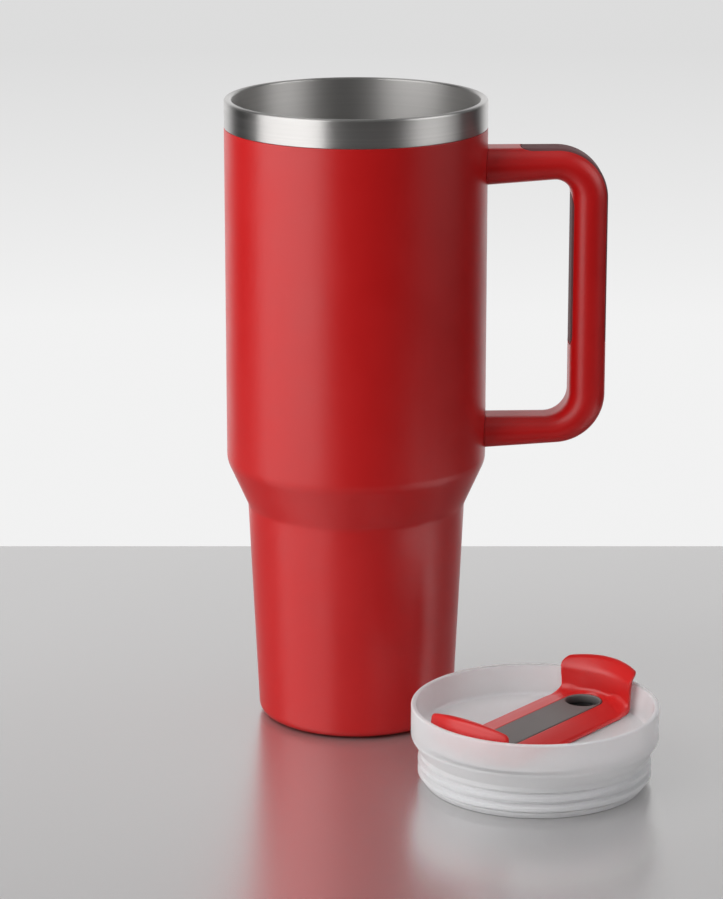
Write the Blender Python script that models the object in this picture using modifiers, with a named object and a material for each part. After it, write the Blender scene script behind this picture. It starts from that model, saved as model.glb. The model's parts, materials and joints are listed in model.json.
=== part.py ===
"""Insulated travel mug, modelled as the separate pieces it is built from.

A double-walled steel body carries a C-shaped handle towards +X. The lid stands beside it, taken off, and
its cover turns on a pin at the lid's centre. Metres, +Z up, with the origin at the middle of the base.
"""

from math import cos, pi, radians, sin, tan

import bmesh
import bpy
from mathutils import Matrix, Vector

# Clearance between pieces that touch, and how far a cutter runs past what it cuts
FIT = 0.0003
OVERCUT = 0.002

# Facets round the large turned pieces, the small ones and the tabs, and in a rounded corner
LARGE_FACETS = 40
SMALL_FACETS = 20
TAB_FACETS = 80
CORNER_STEPS = 3

# Outer wall
MUG_HEIGHT = 0.2434
UPPER_RADIUS = 0.0500
WAIST_RADIUS = 0.0420
BASE_RADIUS = 0.0380
SHOULDER_TOP = 0.1032
SHOULDER_DROP = 0.0178
SHOULDER_ROUND = 0.0100
WAIST_ROUND = 0.0050
FOOT_ROUND = 0.0036
FOOT_RIM = 0.0040
SHEET = 0.0006

# Mouth and inner wall
BAND_HEIGHT = 0.0106
LIP_WIDTH = 0.00295
LIP_ROUND = 0.0005
LINER_OVERLAP = 0.0030
SEAT_DEPTH = 0.0165
SEAT_DROP = 0.0062
VACUUM_GAP = 0.0036
FLOOR_SPACE = 0.0018
FLOOR_ROUND = 0.0080
LINER_ROUND = 0.0060
FOIL = 0.0004
FOIL_MARGIN = 0.0060

# Bottom
PAD_STAND = 0.0005
PLATE_SPACE = 0.0018
PLATE_FLANGE = 0.0030
BEAD_RADIUS = 0.0018
GETTER_RADIUS = 0.0040
GETTER_HEIGHT = 0.0020
GETTER_PLACE = 0.0150

# Handle
HANDLE_DROP = 0.0192
HANDLE_RISE = 0.0074
HANDLE_REACH = 0.0458
HANDLE_WIDTH = 0.0212
HANDLE_EDGE = 0.0032
GRIP_THICKNESS = 0.0139
UPPER_ARM = 0.0110
UPPER_FLARE = 0.0025
LOWER_ARM = 0.0092
LOWER_FLARE = 0.0030
OUTER_CORNER = 0.0195
INNER_TOP_CORNER = 0.0065
INNER_LOW_CORNER = 0.0095
STRIP_WIDTH = 0.0160
STRIP_DEPTH = 0.0015
STRIP_START = 0.0128
STRIP_LENGTH = 0.0762

# Tongues and screws in the arms
TONGUE_REACH = 0.0100
TONGUE_WIDTH = 0.0110
TONGUE_HEIGHT = 0.0044
SCREW_PLACE = 0.0060
SCREW_RADIUS = 0.0013
SCREW_HEAD_RADIUS = 0.0028
SCREW_HEAD = 0.0014
SCREW_RECESS = 0.0004

# Lid, which drops into the mouth as far as its chamfer
MOUTH_PLAY = 0.0009
LID_GAP = 0.0075
LID_BEARING = radians(-52.05)
LID_HEIGHT = 0.0299
RIM_WALL = 0.0019
RIM_DRAFT = 0.0012
RIM_ROUND = 0.0006
CHAMFER_TOP = 0.0160
CHAMFER_DROP = 0.0055
CHAMFER_STEP = 0.0031
DECK_TOP = 0.0185
DECK_THICKNESS = 0.0030
PLUG_WALL = 0.0020
PLUG_FLANGE = 0.0026
PLUG_TOE = 0.0018
GASKET_THICKNESS = 0.0018
RIB_HEIGHT = 0.0008
RIB_WIDTH = 0.0016
RIB_PITCH = 0.0033
RIB_COUNT = 2
RIB_DROP = 0.0017

# Turning cover
COVER_BEARING = radians(48.0)
COVER_PLAY = 0.0007
BAR_WIDTH = 0.0330
BAR_CROWN = 0.0172
BAR_THICKNESS = 0.0035
BAR_SIDE = 0.0012
BAR_ROUND = 0.0006
END_ROUND = 0.0040
TAB_CORNER = 0.0022
TAB_THICKNESS = 0.0024
TAB_ROUND = 0.0009
TALL_TAB = 0.0167
TALL_TAB_WIDTH = 0.0352
TALL_TAB_LEAN = 0.0036
LOW_TAB = 0.0145
LOW_TAB_WIDTH = 0.0358
LOW_TAB_THICKNESS = 0.00415
SCOOP_ROUND = 0.0045
INLAY_WIDTH = 0.0162
INLAY_THICKNESS = 0.0010
HOLE_RADIUS = 0.0072
HOLE_MARGIN = 0.00035
COLLAR_WALL = 0.0006
SLEEVE_WALL = 0.0008
SLEEVE_FLANGE = 0.0016
FLANGE_HEIGHT = 0.0012
PIN_RADIUS = 0.0025
PIN_HEAD_RADIUS = 0.0050
PIN_HEAD = 0.0007
PIN_TAIL = 0.0005
WASHER_RADIUS = 0.0070
WASHER_THICKNESS = 0.0012
CLIP_RADIUS = 0.0055
CLIP_THICKNESS = 0.0012

# Sizes that follow from those above
MOUTH_RADIUS = UPPER_RADIUS - LIP_WIDTH
LID_RADIUS = MOUTH_RADIUS - MOUTH_PLAY
PLUG_RADIUS = LID_RADIUS - CHAMFER_STEP
GROOVE_TOP = CHAMFER_TOP - CHAMFER_DROP
GROOVE_RADIUS = PLUG_RADIUS - GASKET_THICKNESS - FIT
RIB_RADIUS = PLUG_RADIUS + RIB_HEIGHT - FIT
BORE_RADIUS = RIB_RADIUS + FIT
RECESS_RADIUS = LID_RADIUS - RIM_WALL - RIM_DRAFT
LID_DISTANCE = UPPER_RADIUS + LID_GAP + LID_RADIUS
DECK_BOTTOM = DECK_TOP - DECK_THICKNESS
COVER_RADIUS = RECESS_RADIUS - COVER_PLAY
LOW_TAB_CHORD = COVER_RADIUS - LOW_TAB_THICKNESS
HOLE_PLACE = COVER_RADIUS - TAB_THICKNESS - HOLE_MARGIN - INLAY_WIDTH / 2
INLAY_NEAR = SCOOP_ROUND - LOW_TAB_CHORD
COLLAR_RADIUS = HOLE_RADIUS + COLLAR_WALL
BAR_BOTTOM = DECK_TOP + FIT
BAR_TOP = BAR_BOTTOM + BAR_THICKNESS
POCKET_FLOOR = BAR_TOP - INLAY_THICKNESS - FIT
BAND_BOTTOM = MUG_HEIGHT - BAND_HEIGHT
HANDLE_TOP = MUG_HEIGHT - HANDLE_DROP
HANDLE_BOTTOM = SHOULDER_TOP + HANDLE_RISE
HANDLE_OUTSIDE = UPPER_RADIUS + HANDLE_REACH
HANDLE_INSIDE = HANDLE_OUTSIDE - GRIP_THICKNESS
ARM_ROOT = UPPER_RADIUS - OVERCUT
RIM_TOP = PAD_STAND + SHEET
PLATE_BOTTOM = RIM_TOP + FIT + SHEET + PLATE_SPACE
PLATE_TOP = PLATE_BOTTOM + SHEET
FLOOR_HEIGHT = PLATE_TOP + FIT + GETTER_HEIGHT + FLOOR_SPACE + SHEET

# Quarter turns that stand a flat outline up: in the XZ plane, and across the cover's length
UPRIGHT = Matrix.Rotation(pi / 2, 4, "X")
CROSSWISE = Matrix.Rotation(pi / 2, 4, "Z") @ UPRIGHT


def clear_scene():
    for obj in list(bpy.data.objects):
        bpy.data.objects.remove(obj, do_unlink=True)


def new_collection(name, owner):
    collection = bpy.data.collections.new(name)
    owner.children.link(collection)
    return collection


def paint(name, colour, roughness, metallic=0.0):
    """A Principled material for one piece."""
    material = bpy.data.materials.new(name)
    material.use_nodes = True
    shader = material.node_tree.nodes["Principled BSDF"]
    shader.inputs["Base Color"].default_value = (*colour, 1.0)
    shader.inputs["Roughness"].default_value = roughness
    shader.inputs["Metallic"].default_value = metallic
    return material


def add_part(obj, material, parent=None):
    """Puts a finished piece among the parts."""
    PARTS.objects.link(obj)
    obj.data.materials.clear()
    obj.data.materials.append(material)
    obj.data.shade_smooth()
    obj.parent = parent
    return obj


def add_cutter(obj, parent=None, group=None):
    """Puts a shape that only cuts or joins others among the cutters, or in a group of theirs."""
    (group or CUTTERS).objects.link(obj)
    obj.hide_render = True
    obj.display_type = "WIRE"
    obj.parent = parent
    return obj


def combine(obj, other, operation="DIFFERENCE"):
    modifier = obj.modifiers.new(operation.title(), "BOOLEAN")
    modifier.operation = operation
    modifier.object = other
    modifier.solver = "EXACT"


def combine_group(obj, group, operation="DIFFERENCE"):
    """Cuts all the shapes of a group out of a piece, or joins them to it, in one step."""
    modifier = obj.modifiers.new(operation.title(), "BOOLEAN")
    modifier.operation = operation
    modifier.operand_type = "COLLECTION"
    modifier.collection = group
    modifier.solver = "EXACT"


def soften(obj, width, segments=2):
    """Rounds the sharp edges of a piece."""
    bevel = obj.modifiers.new("Rounded edges", "BEVEL")
    bevel.width = width
    bevel.segments = segments
    bevel.limit_method = "ANGLE"
    bevel.angle_limit = radians(50)


def rounded(corners, steps=CORNER_STEPS):
    """Points of an outline whose corners (x, y, radius) become arcs."""
    points = []
    for index, (x, y, radius) in enumerate(corners):
        corner = Vector((x, y))
        if radius == 0:
            points.append(corner)
            continue
        before = (Vector(corners[index - 1][:2]) - corner).normalized()
        after = (Vector(corners[(index + 1) % len(corners)][:2]) - corner).normalized()
        half = before.angle(after) / 2
        centre = corner + (before + after).normalized() * radius / sin(half)
        first = corner + before * radius / tan(half) - centre
        last = corner + after * radius / tan(half) - centre
        for step in range(steps + 1):
            spoke = first.slerp(last, step / steps).normalized()
            points.append(centre + spoke * radius)
    return points


def turned(name, outline, closed, facets):
    """A shape turned round Z from an outline (radius, z) that runs down its outer side."""
    mesh = bpy.data.meshes.new(name)
    count = len(outline)
    edges = [(index, (index + 1) % count) for index in range(count if closed else count - 1)]
    mesh.from_pydata([(radius, 0, z) for radius, z in outline], edges, [])
    obj = bpy.data.objects.new(name, mesh)
    screw = obj.modifiers.new("Turn", "SCREW")
    screw.steps = facets
    screw.render_steps = facets
    screw.use_merge_vertices = True
    screw.merge_threshold = 0.00001
    screw.use_smooth_shade = True
    return obj


def tube(name, inside, outside, low, high, facets=LARGE_FACETS):
    corners = [(outside, high), (outside, low), (inside, low), (inside, high)]
    return turned(name, corners, True, facets)


def disc(name, radius, low, high, facets=LARGE_FACETS):
    corners = [(0, high), (radius, high), (radius, low), (0, low)]
    return turned(name, corners, False, facets)


def walled(obj, thickness, offset):
    """Gives an open turned surface its thickness, outwards with offset 1 and inwards with -1."""
    wall = obj.modifiers.new("Wall", "SOLIDIFY")
    wall.thickness = thickness
    wall.offset = offset
    wall.use_even_offset = True
    return obj


def slab(name, outline, half_thickness, place):
    """A flat outline given a thickness, as a mesh that stands where place says."""
    curve = bpy.data.curves.new(name, "CURVE")
    curve.dimensions = "2D"
    curve.fill_mode = "BOTH"
    curve.extrude = half_thickness
    spline = curve.splines.new("POLY")
    spline.points.add(len(outline) - 1)
    for point, (x, y) in zip(spline.points, outline):
        point.co = (x, y, 0, 1)
    spline.use_cyclic_u = True
    flat = bpy.data.objects.new(name, curve)
    bpy.context.scene.collection.objects.link(flat)
    evaluated = flat.evaluated_get(bpy.context.evaluated_depsgraph_get())
    mesh = bpy.data.meshes.new_from_object(evaluated)
    bpy.data.objects.remove(flat)
    form = bmesh.new()
    form.from_mesh(mesh)
    bmesh.ops.remove_doubles(form, verts=form.verts, dist=0.000001)
    bmesh.ops.dissolve_limit(form, angle_limit=radians(1), verts=form.verts, edges=form.edges)
    bmesh.ops.recalc_face_normals(form, faces=form.faces)
    form.to_mesh(mesh)
    form.free()
    obj = bpy.data.objects.new(name, mesh)
    obj.matrix_basis = place
    return obj


def block(name, low, high):
    """A box between two corners."""
    mesh = bpy.data.meshes.new(name)
    form = bmesh.new()
    size = Vector(high) - Vector(low)
    place = Matrix.Translation((Vector(low) + Vector(high)) / 2) @ Matrix.Diagonal((*size, 1))
    bmesh.ops.create_cube(form, size=1, matrix=place)
    form.to_mesh(mesh)
    form.free()
    return bpy.data.objects.new(name, mesh)


def lower_radius(height):
    """Outside radius of the tapered lower body."""
    waist = SHOULDER_TOP - SHOULDER_DROP
    share = (height - PAD_STAND) / (waist - PAD_STAND)
    return BASE_RADIUS + (WAIST_RADIUS - BASE_RADIUS) * share


def make_outer_shell():
    waist = SHOULDER_TOP - SHOULDER_DROP
    corners = [
        (UPPER_RADIUS, BAND_BOTTOM - FIT, 0),
        (UPPER_RADIUS, SHOULDER_TOP, SHOULDER_ROUND),
        (WAIST_RADIUS, waist, WAIST_ROUND),
        (BASE_RADIUS, PAD_STAND, FOOT_ROUND),
        (BASE_RADIUS - FOOT_ROUND - FOOT_RIM, PAD_STAND, 0),
    ]
    shell = turned("outer_shell", rounded(corners), False, LARGE_FACETS)
    add_part(walled(shell, SHEET, -1), paint("red_powder_coat", (0.38, 0.012, 0.012), 0.45))


def make_mouth_ring():
    inner_end = BAND_BOTTOM + LINER_OVERLAP
    corners = [
        (UPPER_RADIUS, MUG_HEIGHT, LIP_ROUND),
        (UPPER_RADIUS, BAND_BOTTOM, 0),
        (UPPER_RADIUS - SHEET, BAND_BOTTOM, 0),
        (UPPER_RADIUS - SHEET, MUG_HEIGHT - SHEET, 0),
        (MOUTH_RADIUS + SHEET, MUG_HEIGHT - SHEET, 0),
        (MOUTH_RADIUS + SHEET, inner_end, 0),
        (MOUTH_RADIUS, inner_end, 0),
        (MOUTH_RADIUS, MUG_HEIGHT, LIP_ROUND),
    ]
    ring = turned("mouth_ring", rounded(corners, 2), True, LARGE_FACETS)
    add_part(ring, paint("mouth_steel", (0.55, 0.54, 0.52), 0.28, 1.0))


def liner_radius(height):
    """Inside radius of the liner's tapered lower part."""
    return lower_radius(height) - 2 * SHEET - VACUUM_GAP


def make_inner_liner():
    waist = SHOULDER_TOP - SHOULDER_DROP
    seat = MUG_HEIGHT - SEAT_DEPTH
    corners = [
        (MOUTH_RADIUS, BAND_BOTTOM + LINER_OVERLAP - FIT, 0),
        (MOUTH_RADIUS, seat, 0),
        (BORE_RADIUS, seat - SEAT_DROP, 0),
        (BORE_RADIUS, SHOULDER_TOP, LINER_ROUND),
        (liner_radius(waist), waist, LINER_ROUND),
        (liner_radius(FLOOR_HEIGHT), FLOOR_HEIGHT, FLOOR_ROUND),
        (0, FLOOR_HEIGHT, 0),
    ]
    liner = turned("inner_liner", rounded(corners), False, LARGE_FACETS)
    add_part(walled(liner, SHEET, 1), paint("liner_steel", (0.55, 0.54, 0.52), 0.32, 1.0))


def make_copper_wrap():
    inside = BORE_RADIUS + SHEET + FIT
    low = SHOULDER_TOP + FOIL_MARGIN
    high = MUG_HEIGHT - SEAT_DEPTH - SEAT_DROP - FOIL_MARGIN
    wrap = tube("copper_wrap", inside, inside + FOIL, low, high)
    add_part(wrap, paint("copper_foil", (0.60, 0.25, 0.12), 0.30, 1.0))


def make_bottom():
    radius = lower_radius(PLATE_BOTTOM) - SHEET - FIT
    flange_top = PLATE_TOP + PLATE_FLANGE
    bead_hole = BEAD_RADIUS + FIT
    outline = [
        (radius, flange_top),
        (radius, PLATE_BOTTOM),
        (bead_hole, PLATE_BOTTOM),
        (bead_hole, PLATE_TOP),
        (radius - SHEET, PLATE_TOP),
        (radius - SHEET, flange_top),
    ]
    plate = turned("bottom_plate", outline, True, LARGE_FACETS)
    add_part(plate, paint("plate_steel", (0.50, 0.50, 0.49), 0.40, 1.0))

    bead = disc("seal_bead", BEAD_RADIUS, PLATE_BOTTOM, PLATE_TOP, SMALL_FACETS)
    add_part(bead, paint("solder", (0.60, 0.60, 0.58), 0.35, 1.0))

    getter_low = PLATE_TOP + FIT
    getter = disc("getter", GETTER_RADIUS, getter_low, getter_low + GETTER_HEIGHT, SMALL_FACETS)
    getter.location.x = GETTER_PLACE
    add_part(getter, paint("getter_alloy", (0.20, 0.20, 0.21), 0.60, 1.0))

    cover_low = RIM_TOP + FIT
    cover = disc("base_cover", BASE_RADIUS - FOOT_ROUND, cover_low, cover_low + SHEET)
    add_part(cover, paint("cover_steel", (0.50, 0.50, 0.49), 0.40, 1.0))

    pad = disc("base_pad", BASE_RADIUS - FOOT_ROUND - FOOT_RIM - FIT, 0, RIM_TOP)
    add_part(pad, paint("pad_rubber", (0.03, 0.03, 0.03), 0.80))


def strip_outline(start, end, grow, overshoot):
    """Outline of the outer strip, or of its groove when grown and run out past the surface."""
    top = HANDLE_TOP + overshoot
    outside = HANDLE_OUTSIDE + overshoot
    floor = HANDLE_TOP - STRIP_DEPTH - grow
    inside = HANDLE_OUTSIDE - STRIP_DEPTH - grow
    corners = [
        (start - grow, top, 0),
        (outside, top, OUTER_CORNER + overshoot),
        (outside, end - grow, 0),
        (inside, end - grow, 0),
        (inside, floor, OUTER_CORNER - STRIP_DEPTH - grow),
        (start - grow, floor, 0),
    ]
    return rounded(corners, CORNER_STEPS + 2)


def make_handle():
    upper_under = HANDLE_TOP - UPPER_ARM
    lower_over = HANDLE_BOTTOM + LOWER_ARM
    corners = [
        (ARM_ROOT, HANDLE_TOP, 0),
        (HANDLE_OUTSIDE, HANDLE_TOP, OUTER_CORNER),
        (HANDLE_OUTSIDE, HANDLE_BOTTOM, OUTER_CORNER),
        (ARM_ROOT, HANDLE_BOTTOM - LOWER_FLARE, 0),
        (ARM_ROOT, lower_over, 0),
        (HANDLE_INSIDE, lower_over, INNER_LOW_CORNER),
        (HANDLE_INSIDE, upper_under, INNER_TOP_CORNER),
        (ARM_ROOT, upper_under - UPPER_FLARE, 0),
    ]
    handle = slab("handle_shell", rounded(corners, CORNER_STEPS + 2), HANDLE_WIDTH / 2, UPRIGHT)
    soften(handle, HANDLE_EDGE, 3)
    cuts = new_collection("handle_cutters", CUTTERS)
    body = add_cutter(disc("body_clearance", UPPER_RADIUS + FIT, 0, MUG_HEIGHT), group=cuts)

    strip_start = UPPER_RADIUS + STRIP_START
    strip_end = HANDLE_TOP - STRIP_LENGTH
    strip_paint = paint("strip_rubber", (0.17, 0.07, 0.075), 0.60)
    outer_line = strip_outline(strip_start, strip_end, 0, 0)
    outer = slab("outer_grip", outer_line, STRIP_WIDTH / 2, UPRIGHT)
    add_part(outer, strip_paint)
    groove_line = strip_outline(strip_start, strip_end, FIT, OVERCUT)
    add_cutter(slab("outer_groove", groove_line, STRIP_WIDTH / 2 + FIT, UPRIGHT), group=cuts)

    half = STRIP_WIDTH / 2
    low = Vector((HANDLE_INSIDE, -half, strip_end))
    high = Vector((HANDLE_INSIDE + STRIP_DEPTH, half, upper_under - INNER_TOP_CORNER))
    add_part(block("inner_grip", low, high), strip_paint.copy())
    gap = Vector((FIT, FIT, FIT))
    recess = block("inner_groove", low - gap - Vector((OVERCUT, 0, 0)), high + gap)
    add_cutter(recess, group=cuts)

    upper_low = upper_under - UPPER_FLARE
    lower_low = HANDLE_BOTTOM - LOWER_FLARE
    make_fixing("upper", cuts, body, upper_low, (upper_low + HANDLE_TOP) / 2)
    make_fixing("lower", cuts, body, lower_low, (lower_low + lower_over) / 2)
    combine_group(handle, cuts)
    add_part(handle, paint("handle_red", (0.40, 0.012, 0.012), 0.42))


def make_fixing(side, cuts, body, underside, middle):
    """The steel tongue in one arm of the handle, and the screw that goes up into it."""
    low = Vector((ARM_ROOT, -TONGUE_WIDTH / 2, middle - TONGUE_HEIGHT / 2))
    high = Vector((UPPER_RADIUS + TONGUE_REACH, TONGUE_WIDTH / 2, middle + TONGUE_HEIGHT / 2))
    tongue = block(side + "_bracket", low, high)
    combine(tongue, body)
    gap = Vector((FIT, FIT, FIT))
    add_cutter(block(side + "_pocket", low - gap, high + gap), group=cuts)

    head_low = underside + SCREW_RECESS
    head_top = head_low + SCREW_HEAD
    tip = high.z - FIT
    outline = [
        (0, tip),
        (SCREW_RADIUS, tip),
        (SCREW_RADIUS, head_top),
        (SCREW_HEAD_RADIUS, head_top),
        (SCREW_HEAD_RADIUS, head_low),
        (0, head_low),
    ]
    screw = turned(side + "_screw", outline, False, SMALL_FACETS)
    hole_line = [
        (0, high.z),
        (SCREW_RADIUS + FIT, high.z),
        (SCREW_RADIUS + FIT, head_top + FIT),
        (SCREW_HEAD_RADIUS + FIT, head_top + FIT),
        (SCREW_HEAD_RADIUS + FIT, underside - OVERCUT),
        (0, underside - OVERCUT),
    ]
    hole = turned(side + "_screw_hole", hole_line, False, SMALL_FACETS)
    thread = disc(side + "_thread", SCREW_RADIUS + FIT, head_low, high.z + OVERCUT, SMALL_FACETS)
    for obj in (screw, hole, thread):
        obj.location.x = UPPER_RADIUS + SCREW_PLACE
    add_cutter(hole, group=cuts)
    combine(tongue, add_cutter(thread))
    add_part(tongue, paint(side + "_tongue_steel", (0.50, 0.50, 0.49), 0.40, 1.0))
    add_part(screw, paint(side + "_screw_steel", (0.45, 0.45, 0.44), 0.35, 1.0))


def add_lid_axis():
    """An empty on the lid's own axis, with its X along the cover."""
    axis = bpy.data.objects.new("lid_axis", None)
    axis.location = (LID_DISTANCE * cos(LID_BEARING), LID_DISTANCE * sin(LID_BEARING), 0)
    axis.rotation_euler.z = COVER_BEARING
    PARTS.objects.link(axis)
    return axis


def make_lid_body(axis):
    inside = GROOVE_RADIUS - PLUG_WALL
    under_deck = RECESS_RADIUS - PLUG_WALL
    rim_inside = LID_RADIUS - RIM_WALL
    corners = [
        (LID_RADIUS, LID_HEIGHT, RIM_ROUND),
        (LID_RADIUS, CHAMFER_TOP, RIM_ROUND),
        (PLUG_RADIUS, GROOVE_TOP, 0),
        (GROOVE_RADIUS, GROOVE_TOP, 0),
        (GROOVE_RADIUS, PLUG_FLANGE, 0),
        (PLUG_RADIUS - FIT, PLUG_FLANGE, 0),
        (PLUG_RADIUS - FIT - PLUG_TOE, 0, RIM_ROUND),
        (inside, 0, RIM_ROUND),
        (inside, GROOVE_TOP, 0),
        (under_deck, CHAMFER_TOP - PLUG_WALL, 0),
        (under_deck, DECK_BOTTOM, 0),
        (PIN_RADIUS + FIT, DECK_BOTTOM, 0),
        (PIN_RADIUS + FIT, DECK_TOP, 0),
        (RECESS_RADIUS, DECK_TOP, RIM_ROUND),
        (rim_inside, LID_HEIGHT, RIM_ROUND),
    ]
    lid = turned("lid_body", rounded(corners, 2), True, LARGE_FACETS)
    make_spout_gasket(lid, axis)
    add_part(lid, paint("frosted_plastic", (0.78, 0.77, 0.77), 0.40), axis)


def make_spout_gasket(lid, axis):
    """The flanged sleeve that lines the hole in the deck, and the stepped hole that it sits in."""
    sleeve = HOLE_RADIUS + SLEEVE_WALL
    flange = sleeve + SLEEVE_FLANGE
    flange_low = DECK_TOP - FLANGE_HEIGHT
    outline = [
        (flange, DECK_TOP),
        (flange, flange_low),
        (sleeve, flange_low),
        (sleeve, DECK_BOTTOM),
        (HOLE_RADIUS, DECK_BOTTOM),
        (HOLE_RADIUS, DECK_TOP),
    ]
    gasket = turned("spout_gasket", outline, True, SMALL_FACETS)
    above = DECK_TOP + OVERCUT
    hole = disc("deck_hole", sleeve + FIT, DECK_BOTTOM - OVERCUT, above, SMALL_FACETS)
    step = disc("deck_step", flange + FIT, flange_low - FIT, above, SMALL_FACETS)
    for obj in (gasket, hole, step):
        obj.location.x = HOLE_PLACE
    combine(lid, add_cutter(hole, axis))
    combine(lid, add_cutter(step, axis))
    add_part(gasket, paint("spout_rubber", (0.17, 0.16, 0.16), 0.60), axis)


def make_lid_gasket(axis):
    inside = GROOVE_RADIUS + FIT
    outside = PLUG_RADIUS - FIT
    top = GROOVE_TOP - FIT
    outline = [(outside, top)]
    for rib in range(RIB_COUNT):
        middle = GROOVE_TOP - RIB_DROP - rib * RIB_PITCH
        outline.append((outside, middle + RIB_WIDTH / 2))
        outline.append((RIB_RADIUS, middle + RIB_WIDTH / 4))
        outline.append((RIB_RADIUS, middle - RIB_WIDTH / 4))
        outline.append((outside, middle - RIB_WIDTH / 2))
    bottom = PLUG_FLANGE + FIT
    outline += [(outside, bottom), (inside, bottom), (inside, top)]
    gasket = turned("lid_gasket", outline, True, LARGE_FACETS)
    add_part(gasket, paint("gasket_silicone", (0.76, 0.75, 0.75), 0.50), axis)


def trim_tab(tab, low_width, top_width, top, side, axis, group):
    """Keeps what lies inside a tab's front outline, at the end of the cover that side names."""
    low = low_width / 2
    high = top_width / 2
    front = [
        (-low, BAR_BOTTOM, 0),
        (low, BAR_BOTTOM, 0),
        (high, top + FIT, TAB_CORNER),
        (-high, top + FIT, TAB_CORNER),
    ]
    half_reach = COVER_RADIUS / 2
    away = Matrix.Translation((side * (half_reach + SCOOP_ROUND * 2), 0, 0)) @ CROSSWISE
    outline = slab(tab.name + "_outline", rounded(front), half_reach, away)
    combine(tab, add_cutter(outline, axis), "INTERSECT")
    add_cutter(tab, axis, group)


def make_tall_tab(axis, group):
    """The taller thumb tab: a scooped wall round the lid's axis that leans out above the rim."""
    top = DECK_TOP + TALL_TAB
    face = COVER_RADIUS - TAB_THICKNESS
    foot = BAR_TOP - BAR_SIDE
    elbow = LID_HEIGHT - COVER_PLAY
    corners = [
        (COVER_RADIUS + TALL_TAB_LEAN, top, TAB_ROUND),
        (COVER_RADIUS, elbow, 0),
        (COVER_RADIUS, BAR_BOTTOM + FIT, END_ROUND),
        (face - SCOOP_ROUND, BAR_BOTTOM + FIT, 0),
        (face - SCOOP_ROUND, foot, 0),
        (face, foot, SCOOP_ROUND - FIT),
        (face, elbow, 0),
        (face + TALL_TAB_LEAN, top, TAB_ROUND),
    ]
    tab = turned("tall_tab", rounded(corners), True, TAB_FACETS)
    trim_tab(tab, BAR_WIDTH - 2 * FIT, TALL_TAB_WIDTH, top, 1, axis, group)


def make_low_tab(axis, group):
    """The lower thumb tab: the part of a disc that lies outside a straight chord."""
    top = DECK_TOP + LOW_TAB
    low = BAR_BOTTOM + FIT
    edge = [
        (0, top, 0),
        (COVER_RADIUS, top, TAB_ROUND),
        (COVER_RADIUS, low, END_ROUND),
        (0, low, 0),
    ]
    tab = turned("low_tab", rounded(edge), False, TAB_FACETS)
    outside = -(COVER_RADIUS + OVERCUT)
    foot = BAR_TOP - BAR_SIDE
    section = [
        (outside, low - OVERCUT, 0),
        (SCOOP_ROUND - LOW_TAB_CHORD, low - OVERCUT, 0),
        (SCOOP_ROUND - LOW_TAB_CHORD, foot, 0),
        (-LOW_TAB_CHORD, foot, SCOOP_ROUND - FIT),
        (-LOW_TAB_CHORD, top + OVERCUT, 0),
        (outside, top + OVERCUT, 0),
    ]
    beyond_chord = slab("low_tab_section", rounded(section), LOW_TAB_WIDTH, UPRIGHT)
    combine(tab, add_cutter(beyond_chord, axis), "INTERSECT")
    trim_tab(tab, LOW_TAB_WIDTH, LOW_TAB_WIDTH, top, -1, axis, group)


def stadium(half_width, far, near):
    """A strip along X with a round end at far and a straight one at near."""
    points = []
    steps = SMALL_FACETS // 2
    for step in range(steps + 1):
        angle = -pi / 2 + pi * step / steps
        points.append((far + half_width * cos(angle), half_width * sin(angle)))
    return points + [(near, half_width), (near, -half_width)]


def make_cover_bar(axis):
    """The bar across the recess: sloped sides and a flat crown, round ends below the tabs."""
    half = BAR_WIDTH / 2
    crown = BAR_CROWN / 2
    side_top = BAR_BOTTOM + BAR_SIDE
    section = [
        (-half, BAR_BOTTOM, 0),
        (half, BAR_BOTTOM, 0),
        (half, side_top, BAR_ROUND),
        (crown, BAR_TOP, 0),
        (-crown, BAR_TOP, 0),
        (-half, side_top, BAR_ROUND),
    ]
    bar = slab("rotary_cover", rounded(section, 2), COVER_RADIUS, CROSSWISE)
    end = COVER_RADIUS - TAB_THICKNESS / 2
    edge = [
        (0, BAR_TOP + OVERCUT, 0),
        (end, BAR_TOP + OVERCUT, 0),
        (end, BAR_BOTTOM - FIT, END_ROUND),
        (0, BAR_BOTTOM - FIT, 0),
    ]
    ends = turned("cover_ends", rounded(edge), False, TAB_FACETS)
    combine(bar, add_cutter(ends, axis), "INTERSECT")
    return bar


def make_rotary_cover(axis):
    """The bar with its two tabs, the pocket for the inlay and the seat for the pin."""
    cover = make_cover_bar(axis)
    tabs = new_collection("cover_tabs", CUTTERS)
    make_tall_tab(axis, tabs)
    make_low_tab(axis, tabs)
    combine_group(cover, tabs, "UNION")

    cuts = new_collection("cover_cutters", CUTTERS)
    low = BAR_BOTTOM - OVERCUT
    high = BAR_TOP + OVERCUT
    middle = (POCKET_FLOOR + high) / 2
    pocket_line = stadium(INLAY_WIDTH / 2 + FIT, HOLE_PLACE, INLAY_NEAR - FIT)
    pocket_place = Matrix.Translation((0, 0, middle))
    pocket = slab("inlay_pocket", pocket_line, high - middle, pocket_place)
    add_cutter(pocket, axis, cuts)
    collar_hole = disc("collar_hole", COLLAR_RADIUS + FIT, low, high, SMALL_FACETS)
    collar_hole.location.x = HOLE_PLACE
    add_cutter(collar_hole, axis, cuts)
    head_floor = POCKET_FLOOR - PIN_HEAD - FIT
    seat = disc("pin_seat", PIN_HEAD_RADIUS + FIT, head_floor, BAR_TOP, SMALL_FACETS)
    add_cutter(seat, axis, cuts)
    bore = disc("pin_bore", PIN_RADIUS + FIT, low, BAR_TOP, SMALL_FACETS)
    add_cutter(bore, axis, cuts)
    combine_group(cover, cuts)
    add_part(cover, paint("cover_red", (0.42, 0.012, 0.012), 0.38), axis)


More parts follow.
